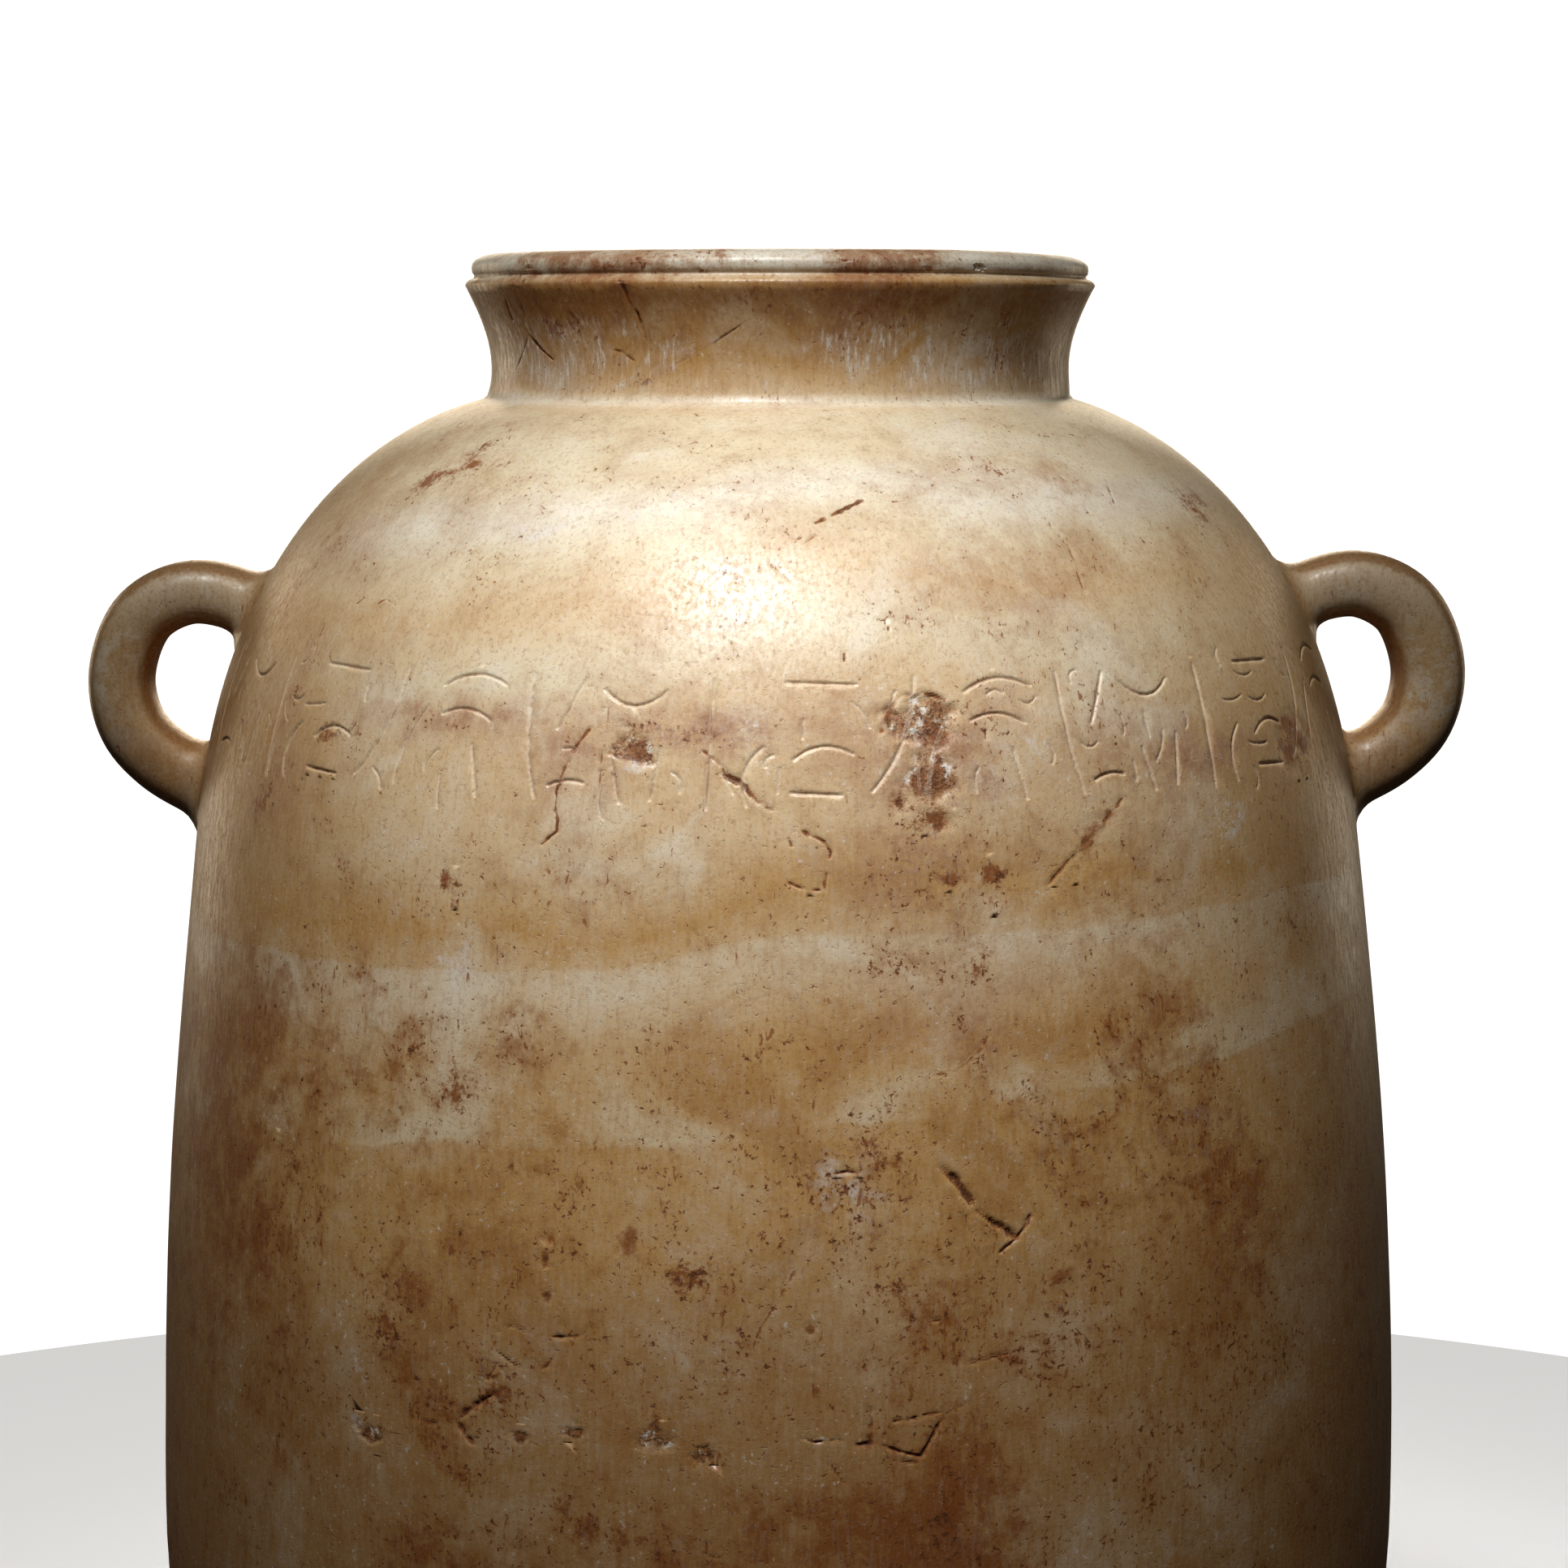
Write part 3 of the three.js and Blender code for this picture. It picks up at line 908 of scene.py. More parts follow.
@dataclass(frozen=True)
class Wear:
    """The damage and dirt of ages, as the front shows it, with some highlights painted as pale patches."""

    photo: Photo = field(default_factory=Photo)
    ragged: float = 0.5
    narrow: float = 0.8
    probe: int = 4

    def cuts(self, surface: Surface) -> list[Cut]:
        """Every gouge, crack and nick, on the outside.

        Args:
            surface: the body's outside.

        Returns:
            The grooves.
        """
        made = []
        for _, width, depth, strength, pixels in GOUGES:
            path = tuple(self.photo.spot(column, row, surface) for column, row in pixels)
            made.append(
                Cut(path, width * self.narrow, depth * self.narrow, Mark.DIRT, self.ragged, strength)
            )
        return made

    def patches(self, surface: Surface) -> list[Patch]:
        """Every stain, scuff and chip, and the pale patches painted as highlights, on the outside.

        Args:
            surface: the body's outside.

        Returns:
            The patches, with their sizes over the outside.
        """
        made = []
        step = self.probe
        rows = [(mark, *row) for mark, group in PATCHES.items() for row in group]
        for mark, _, (column, row), (wide, tall), strength, turn, depth, ragged in rows:
            azimuth, height = self.photo.spot(column, row, surface)
            west, east = (self.photo.spot(column + k, row, surface)[0] for k in (-step, step))
            upper, lower = (self.photo.spot(column, row + k, surface)[1] for k in (-step, step))
            arc = math.radians(east - west) * surface.girth(height)
            across, up = wide * arc / (2 * step), tall * (upper - lower) / (2 * step)
            made.append(Patch(azimuth, height, across, up, mark, strength, turn, depth, ragged))
        return made


def as_object(name: str, bm: bmesh.types.BMesh) -> bpy.types.Object:
    """Turns a bmesh into an object of the scene, and frees it.

    Args:
        name: the object's and the mesh's name.
        bm: the finished bmesh.

    Returns:
        The new object.
    """
    mesh = bpy.data.meshes.new(name)
    bm.to_mesh(mesh)
    bm.free()
    obj = bpy.data.objects.new(name, mesh)
    bpy.context.scene.collection.objects.link(obj)
    return obj


def smooth_step(x: np.ndarray) -> np.ndarray:
    """The smooth step from 0 to 1 of values that are first held to that range."""
    t = np.clip(x, 0.0, 1.0)
    return t * t * (3 - 2 * t)


def scattered(cell: np.ndarray) -> np.ndarray:
    """A fixed pseudo-random number from -1 to 1 for each whole-numbered cell.

    Args:
        cell: the cells' whole numbers, three to a cell.

    Returns:
        One number for each cell.
    """
    mixed = (cell[..., 0] * 73856093) ^ (cell[..., 1] * 19349663) ^ (cell[..., 2] * 83492791)
    mixed = (mixed ^ (mixed >> 13)) * 1274126177
    mixed = (mixed ^ (mixed >> 16)) & 0xFFFFFF
    return mixed / 0x7FFFFF - 1.0


def rough(co: np.ndarray, scale: float, seed: float = 0.0) -> np.ndarray:
    """Smooth noise from -1 to 1 at points.

    Args:
        co: the points, in metres.
        scale: how many noise cells there are to a metre.
        seed: an offset that gives another pattern.

    Returns:
        One value for each point.
    """
    place = co * scale + np.array((seed, seed * 1.7, seed * 0.6)) + 1000.0
    cell = np.floor(place).astype(np.int64)
    part = smooth_step(place - cell)
    total = np.zeros(len(co))
    for corner in np.ndindex(2, 2, 2):
        share = np.where(np.array(corner) == 1, part, 1.0 - part).prod(axis=1)
        total += share * scattered(cell + np.array(corner))
    return total


@dataclass
class Jar:
    """The whole jar: it turns the body, joins the handles, cuts the marks and paints them."""

    outline: Outline = field(default_factory=Outline)
    handles: tuple[Handle, ...] = (
        Handle(side=-1, out=0.0, lift=0.0, crown=19.6, middle=20.3, foot=22.0),
        Handle(side=1, out=-1.3, lift=2.6, crown=19.2, middle=22.8, foot=21.6),
    )
    band: StrokeBand = field(default_factory=StrokeBand)
    wear: Wear = field(default_factory=Wear)
    swells: tuple[Swell, ...] = (
        Swell(azimuth=30.0, height=355.0, reach_degrees=26.0, reach=34.0, amount=-0.9),
        Swell(azimuth=-60.0, height=300.0, reach_degrees=30.0, reach=60.0, amount=-0.7),
        Swell(azimuth=-90.0, height=190.0, reach_degrees=50.0, reach=70.0, amount=-0.9),
    )
    turns: int = 180
    margins: tuple[float, ...] = (3.2, 1.3, 0.5, 0.12)
    wide: float = 1.7
    neck_shift: float = 1.3
    rim_dip: float = 1.1

    def __post_init__(self) -> None:
        """Works out the outside once the sizes are known."""
        self.surface = Surface.of(self.outline)
        self.patches = self.wear.patches(self.surface)

    def turned_body(self) -> bpy.types.Object:
        """Turns the section once round the axis into a closed body.

        Returns:
            The body's object.
        """
        foot = [Vector((r, 0.0)) for r in (0.0, 20.0, 40.0, 60.0)]
        flat = [Vector((r, self.outline.height)) for r in (80.5, 84.0)]
        floor = [Vector((r, self.outline.floor)) for r in (50.0, 25.0, 0.0)]
        section = foot + self.outline.outer()[::-1] + flat[::-1] + self.outline.inner() + floor
        bm = bmesh.new()
        verts = [bm.verts.new((p.x * MM, 0.0, p.y * MM)) for p in section]
        edges = [bm.edges.new(pair) for pair in zip(verts, verts[1:])]
        bmesh.ops.spin(
            bm,
            geom=verts + edges,
            cent=(0, 0, 0),
            axis=(0, 0, 1),
            angle=math.tau,
            steps=self.turns,
            use_merge=True,
        )
        bmesh.ops.remove_doubles(bm, verts=bm.verts, dist=1e-6)
        bmesh.ops.recalc_face_normals(bm, faces=bm.faces)
        return as_object("jar_body", bm)

    def joined(self) -> bpy.types.Object:
        """Joins the handles to the body as one closed surface.

        Returns:
            The jar's object.
        """
        body = self.turned_body()
        bars = [h.build(self.outline, self.surface) for h in self.handles]
        for bar in bars:
            union = body.modifiers.new("join", "BOOLEAN")
            union.operation = "UNION"
            union.solver = "EXACT"
            union.object = bar
        shown = body.evaluated_get(bpy.context.evaluated_depsgraph_get())
        mesh = bpy.data.meshes.new_from_object(shown)
        jar = bpy.data.objects.new("jar_stone", mesh)
        bpy.context.scene.collection.objects.link(jar)
        for old in [body, *bars]:
            bpy.data.objects.remove(old)
        return jar

    def build(self) -> bpy.types.Object:
        """Makes the finished jar.

        Returns:
            The jar's object, with its marks cut in and painted as attributes.
        """
        jar = self.joined()
        bm = bmesh.new()
        bm.from_mesh(jar.data)
        self.soften_roots(bm)
        cuts = [*self.band.cuts(self.surface), *self.wear.cuts(self.surface)]
        lines = [(cut, cut.line(self.surface)) for cut in cuts]
        self.refine(bm, lines)
        bm.to_mesh(jar.data)
        bm.free()
        self.work(jar.data, lines)
        for polygon in jar.data.polygons:
            polygon.use_smooth = True
        return jar

    def soften_roots(self, bm: bmesh.types.BMesh) -> None:
        """Rounds the crease where each handle meets the wall.

        Args:
            bm: the joined surface.
        """
        bm.normal_update()
        creased = {
            v
            for e in bm.edges
            if len(e.link_faces) == 2 and abs(e.verts[0].co.x) > 0.15 and e.calc_face_angle() > 0.35
            for v in e.verts
            if 0.30 < v.co.z < 0.45 and math.hypot(v.co.x, v.co.y) > 0.14
        }
        grown = creased | {e.other_vert(v) for v in creased for e in v.link_edges}
        for _ in range(4):
            bmesh.ops.smooth_vert(
                bm, verts=list(grown), factor=0.5, use_axis_x=True, use_axis_y=True, use_axis_z=True
            )

    def refine(self, bm: bmesh.types.BMesh, lines: list[tuple[Cut, np.ndarray]]) -> None:
        """Divides the faces round each groove and chip, and settles them on the outside.

        Args:
            bm: the joined surface.
            lines: every groove with its middle line.
        """
        for level, margin in enumerate(self.margins):
            faces = list(bm.faces)
            centre = np.array([tuple(f.calc_center_median()) for f in faces])
            wanted = np.zeros(len(faces), bool)
            for cut, line in lines:
                if level < 3 or (cut.width < self.wide and cut.strength > 0.85):
                    wanted |= self.near(centre, line, (cut.width / 2 + margin) * MM)
            for patch in self.patches:
                if patch.depth and level < 3 and (level < 2 or patch.across < 5):
                    wanted |= self.inside(centre, patch) < 1.15 + 0.6 * (patch.across < 5)
            wanted &= self.surface.distance(centre) < 0.15 * MM
            edges = list(dict.fromkeys(e for f, w in zip(faces, wanted) if w for e in f.edges))
            made = bmesh.ops.subdivide_edges(bm, edges=edges, cuts=1, use_grid_fill=True)
            fresh = [v for v in made["geom_inner"] if isinstance(v, bmesh.types.BMVert)]
            co = np.array([tuple(v.co) for v in fresh])
            for v, to in zip(fresh, self.surface.settle(co)):
                v.co = Vector(to)
            log.info("level %d: %d faces", level, len(bm.faces))

    @staticmethod
    def near(co: np.ndarray, line: np.ndarray, reach: float) -> np.ndarray:
        """Which points lie within reach of a line.

        Args:
            co: the points.
            line: the line's points.
            reach: the distance.

        Returns:
            True for each point that is near.
        """
        low, high = line.min(axis=0) - reach, line.max(axis=0) + reach
        hit = np.flatnonzero(((co > low) & (co < high)).all(axis=1))
        found = np.zeros(len(co), bool)
        if len(hit):
            found[hit] = Jar.apart(co[hit], line)[0] < reach
        return found

    @staticmethod
    def apart(co: np.ndarray, line: np.ndarray) -> tuple[np.ndarray, np.ndarray]:
        """How far points are from a line, and how far along it their nearest place is.

        Args:
            co: the points.
            line: the line's points.

        Returns:
            The distances, and the places along the line from 0 to 1.
        """
        a, b = line[:-1], line[1:]
        ab = b - a
        t = np.einsum("nmk,mk->nm", co[:, None, :] - a[None], ab) / np.maximum((ab**2).sum(axis=1), 1e-12)
        t = np.clip(t, 0, 1)
        gap = np.linalg.norm(co[:, None, :] - a[None] - t[..., None] * ab[None], axis=2)
        best = gap.argmin(axis=1)
        rows = np.arange(len(co))
        return gap[rows, best], (best + t[rows, best]) / len(a)

    def inside(self, co: np.ndarray, patch: Patch) -> np.ndarray:
        """How far out of a patch's middle points are, as a share of its size.

        Args:
            co: the points, in metres.
            patch: the patch.

        Returns:
            0 in the middle, 1 at the edge and more outside.
        """
        middle = self.surface.point(patch.azimuth, patch.height)
        a = math.radians(patch.azimuth)
        east = np.array((math.cos(a), math.sin(a), 0.0))
        away = co - middle
        x, z = away @ east, away[:, 2]
        y = np.linalg.norm(away - x[:, None] * east, axis=1) * np.sign(z)
        turn = math.radians(patch.turn)
        u = (x * math.cos(turn) + y * math.sin(turn)) / (patch.across * MM)
        v = (y * math.cos(turn) - x * math.sin(turn)) / (patch.up * MM)
        return np.hypot(u, v)

    def work(self, mesh: bpy.types.Mesh, lines: list[tuple[Cut, np.ndarray]]) -> None:
        """Cuts the marks into the stone, bends it as a hand-worked wall, and paints the marks.

        Args:
            mesh: the jar's mesh, on the true form.
            lines: every groove with its middle line.
        """
        count = len(mesh.vertices)
        co, normal = np.empty(count * 3), np.empty(count * 3)
        mesh.vertices.foreach_get("co", co)
        mesh.vertices.foreach_get("normal", normal)
        co, normal = co.reshape(-1, 3), normal.reshape(-1, 3)
        marks = {mark: np.zeros(count) for mark in Mark}
        sunk = np.zeros(count)
        settled = self.surface.settle(co)
        outside = np.linalg.norm(co - settled, axis=1) < 0.2 * MM
        proud = np.hypot(co[:, 0], co[:, 1]) - np.hypot(settled[:, 0], settled[:, 1])
        marks[Mark.HANDLE] = smooth_step(proud / (5 * MM)) * (co[:, 2] < 0.46)
        self.engrave(co, outside, lines, marks, sunk)
        self.wear_down(co, outside, marks, sunk)
        mesh.vertices.foreach_set("co", self.by_hand(co - normal * sunk[:, None]).ravel())
        for mark, values in marks.items():
            layer = mesh.attributes.new(mark.value, "FLOAT", "POINT")
            layer.data.foreach_set("value", values.astype(np.float32))
        mesh.update()

    def engrave(
        self,
        co: np.ndarray,
        outside: np.ndarray,
        lines: list[tuple[Cut, np.ndarray]],
        marks: dict[Mark, np.ndarray],
        sunk: np.ndarray,
    ) -> None:
        """Adds every groove's depth and dirt.

        Args:
            co: the jar's points.
            outside: which of them are on the outside.
            lines: every groove with its middle line.
            marks: how strong each mark is at the points, changed in place.
            sunk: how deep the points lie, changed in place.
        """
        for number, (cut, line) in enumerate(lines):
            reach = (cut.width * 1.5 + 1.5) * MM
            low, high = line.min(axis=0) - reach, line.max(axis=0) + reach
            hit = np.flatnonzero(((co > low) & (co < high)).all(axis=1) & outside)
            if not len(hit):
                continue
            gap, along = self.apart(co[hit], line)
            half = cut.width / 2 * MM
            if cut.ragged:
                gap = gap * (1 + cut.ragged * rough(co[hit], 700.0, number * 3.1))
                half = half * (1 + cut.ragged * rough(co[hit], 120.0, number * 5.3))
            ends = np.sqrt(np.clip(1 - np.abs(2 * along - 1) ** 8, 0, 1))
            if cut.mark is Mark.DIRT:
                broken = rough(co[hit], 260.0, number * 1.9) + 0.7 * rough(co[hit], 620.0, number * 2.7)
                ends = ends * np.clip(0.75 + 0.8 * broken, 0.05, 1.0)
            deep = np.clip(1 - gap / half, 0, 1) ** 0.8
            sunk[hit] = np.maximum(sunk[hit], cut.depth * MM * deep * ends)
            stain = smooth_step(1.25 - gap / half) * cut.strength * ends
            marks[cut.mark][hit] = np.maximum(marks[cut.mark][hit], stain)

    def wear_down(
        self,
        co: np.ndarray,
        outside: np.ndarray,
        marks: dict[Mark, np.ndarray],
        sunk: np.ndarray,
    ) -> None:
        """Adds every stain, scuff and chip, and the pale patches painted as highlights.

        Args:
            co: the jar's points.
            outside: which of them are on the outside.
            marks: how strong each mark is at the points, changed in place.
            sunk: how deep the points lie, changed in place.
        """
        for number, patch in enumerate(self.patches):
            share = self.inside(co, patch)
            hit = np.flatnonzero((share < 2.4) & (co @ self.facing(patch) > 0))
            if not len(hit):
                continue
            edge = share[hit]
            if patch.ragged:
                scale = 1.6 / (min(patch.across, patch.up) * MM)
                edge = edge + patch.ragged * 0.5 * rough(co[hit], scale, number * 2.3)
                edge = edge + patch.ragged * 0.25 * rough(co[hit], scale * 2.6, number * 4.1)
            value = np.exp(-1.8 * np.maximum(edge, 0.0) ** 2) * patch.strength
            marks[patch.mark][hit] = np.maximum(marks[patch.mark][hit], value)
            if patch.depth:
                pit = smooth_step((1 - edge) * 3.5)
                grain = 0.75 + 0.35 * rough(co[hit], 420.0, number * 7.7)
                sunk[hit] = np.maximum(sunk[hit], patch.depth * MM * pit * grain * outside[hit])

    @staticmethod
    def facing(patch: Patch) -> np.ndarray:
        """The level direction from the axis towards a patch."""
        a = math.radians(patch.azimuth)
        return np.array((math.sin(a), -math.cos(a), 0.0))

    def by_hand(self, co: np.ndarray) -> np.ndarray:
        """Bends the true form a little, as a wall that was ground by hand.

        Args:
            co: points of the true form, in metres.

        Returns:
            The points in the worked form, never outside the true form's box.
        """
        out = co.copy()
        r = np.hypot(co[:, 0], co[:, 1])
        azimuth = np.degrees(np.arctan2(co[:, 0], -co[:, 1]))
        change = -0.45 + 0.40 * rough(co, 11.0, 4.0) + 0.13 * rough(co, 30.0, 9.0)
        change = change + 0.05 * rough(co, 62.0, 2.0)
        for swell in self.swells:
            turn = (azimuth - swell.azimuth + 180) % 360 - 180
            change = change + swell.amount * np.exp(
                -((turn / swell.reach_degrees) ** 2) - ((co[:, 2] / MM - swell.height) / swell.reach) ** 2
            )
        foot = smooth_step(co[:, 2] / (30 * MM))
        scale = 1 + change * MM * foot / np.maximum(r, 40 * MM)
        out[:, :2] *= scale[:, None]
        neck = smooth_step((co[:, 2] / MM - 478) / 14) * (r < 0.105)
        out[:, 0] += self.neck_shift * MM * neck
        lip = smooth_step((co[:, 2] / MM - 516) / 14)
        out[:, 2] -= lip * MM * np.clip(0.5 + 0.6 * rough(co, 9.0, 21.0), 0.02, 2.0)
        out[:, 2] -= lip * MM * self.rim_dip * smooth_step((co[:, 0] - 0.045) / 0.06)
        return out


class Value:
    """A number's socket that takes part in shader maths."""

    def __init__(self, graph: "Graph", socket: bpy.types.NodeSocket) -> None:
        """Wraps a socket of a graph.

        Args:
            graph: the graph that new nodes are added to.
            socket: the output socket.
        """
        self.graph = graph
        self.socket = socket

    def _math(self, operation: str, *others: "Value | float") -> "Value":
        """One Math node on this value and others."""
        inputs = {i: v for i, v in enumerate((self, *others))}
        return self.graph.value("ShaderNodeMath", {"operation": operation}, inputs)

    def __add__(self, other: "Value | float") -> "Value":
        """This plus another."""
        return self._math("ADD", other)

    def __radd__(self, other: float) -> "Value":
        """A number plus this."""
        return self._math("ADD", other)

    def __sub__(self, other: "Value | float") -> "Value":
        """This less another."""
        return self._math("SUBTRACT", other)

    def __rsub__(self, other: float) -> "Value":
        """A number less this."""
        return self.graph.value("ShaderNodeMath", {"operation": "SUBTRACT"}, {0: other, 1: self})

    def __mul__(self, other: "Value | float") -> "Value":
        """This times another."""
        return self._math("MULTIPLY", other)

    def __rmul__(self, other: float) -> "Value":
        """A number times this."""
        return self._math("MULTIPLY", other)

    def __truediv__(self, other: "Value | float") -> "Value":
        """This over another."""
        return self._math("DIVIDE", other)

    def max(self, other: "Value | float") -> "Value":
        """The larger of this and another."""
        return self._math("MAXIMUM", other)

    def min(self, other: "Value | float") -> "Value":
        """The smaller of this and another."""
        return self._math("MINIMUM", other)

    def abs(self) -> "Value":
        """This without its sign."""
        return self._math("ABSOLUTE")

    def between(self, low: "Value | float", high: "Value | float") -> "Value":
        """0 below low, 1 above high and smooth between them.

        Args:
            low: where the rise starts.
            high: where it ends.

        Returns:
            The smooth step.
        """
        return self.graph.value(
            "ShaderNodeMapRange",
            {"interpolation_type": "SMOOTHSTEP"},
            {"Value": self, "From Min": low, "From Max": high},
        )


@dataclass
class Graph:
    """The node tree of one material."""

    tree: bpy.types.NodeTree

    @classmethod
    def of(cls, owner: bpy.types.Material | bpy.types.World) -> "Graph":
        """The emptied node tree of a material or a world.

        Args:
            owner: the material or world.

        Returns:
            Its graph.
        """
        owner.use_nodes = True
        owner.node_tree.nodes.clear()
        return cls(owner.node_tree)

    def node(
        self,
        kind: str,
        settings: dict[str, object] | None = None,
        inputs: dict[str | int, object] | None = None,
    ) -> bpy.types.Node:
        """Adds a node, makes its settings, then fills its sockets.

        Args:
            kind: the node's type.
            settings: its properties; "stops" gives a ramp's positions and colours.
            inputs: values, sockets or Values, by the socket's name, identifier or place.

        Returns:
            The new node.
        """
        made = self.tree.nodes.new(kind)
        for key, value in (settings or {}).items():
            if key == "stops":
                self._stops(made.color_ramp, value)
            else:
                setattr(made, key, value)
        for key, value in (inputs or {}).items():
            socket = self._socket(made, key)
            if isinstance(value, Value):
                value = value.socket
            if isinstance(value, bpy.types.NodeSocket):
                self.tree.links.new(value, socket)
            else:
                socket.default_value = value
        return made

    @staticmethod
    def _stops(ramp: bpy.types.ColorRamp, stops: Iterable[tuple[float, tuple]]) -> None:
        """Gives a ramp its stops.

        Args:
            ramp: the ramp.
            stops: each stop's position and colour.
        """
        stops = list(stops)
        while len(ramp.elements) < len(stops):
            ramp.elements.new(1.0)
        for element, (position, colour) in zip(ramp.elements, stops):
            element.position = position
            element.color = (*colour, 1.0)

    @staticmethod
    def _socket(node: bpy.types.Node, key: str | int) -> bpy.types.NodeSocket:
        """The input socket that a key means.

        Args:
            node: the node.
            key: the socket's place, identifier or name.

        Returns:
            The socket.
        """
        if isinstance(key, int):
            return node.inputs[key]
        for socket in node.inputs:
            if socket.identifier == key:
                return socket
        return node.inputs[key]

    def value(self, kind: str, settings: dict | None = None, inputs: dict | None = None) -> Value:
        """Adds a node and takes its first output as a Value."""
        return Value(self, self.node(kind, settings, inputs).outputs[0])

    def noise(
        self, vector: bpy.types.NodeSocket, scale: float, detail: float = 4.0, roughness: float = 0.55,
        distortion: float = 0.0,
    ) -> Value:
        """Noise from 0 to 1 over a vector.

        Args:
            vector: the coordinates.
            scale: cells to a metre.
            detail: how many finer layers there are.
            roughness: how strong the finer layers are.
            distortion: how far the noise bends itself.

        Returns:
            The noise.
        """
        return self.value(
            "ShaderNodeTexNoise",
            {},
            {
                "Vector": vector,
                "Scale": scale,
                "Detail": detail,
                "Roughness": roughness,
                "Distortion": distortion,
            },
        )

    def mix(self, a: object, b: object, share: "Value | float") -> bpy.types.NodeSocket:
        """Blends two colours.

        Args:
            a: the first, a colour or a socket.
            b: the second.
            share: how much of the second.

        Returns:
            The blended colour's socket.
        """
        a, b = ((*c, 1.0) if isinstance(c, tuple) else c for c in (a, b))
        made = self.node(
            "ShaderNodeMix",
            {"data_type": "RGBA", "clamp_factor": True},
            {"Factor_Float": share, "A_Color": a, "B_Color": b},
        )
        return next(s for s in made.outputs if s.identifier == "Result_Color")

    def coats(self, colour: object, coats: Iterable[tuple[object, Value]]) -> bpy.types.NodeSocket:
        """Lays coats over a colour, one after another.

        Args:
            colour: what they cover.
            coats: each coat's own colour and how much it covers.

        Returns:
            The covered colour's socket.
        """
        for paint, share in coats:
            colour = self.mix(colour, paint, share)
        return colour

    def vector(self, operation: str, inputs: dict[str | int, object]) -> bpy.types.NodeSocket:
        """One Vector Math node's vector output."""
        return self.node("ShaderNodeVectorMath", {"operation": operation}, inputs).outputs[0]

    def attribute(self, name: str) -> Value:
        """A mark painted on the mesh."""
        made = self.node("ShaderNodeAttribute", {"attribute_type": "GEOMETRY", "attribute_name": name})
        return Value(self, made.outputs["Fac"])


Colour = tuple[float, float, float]


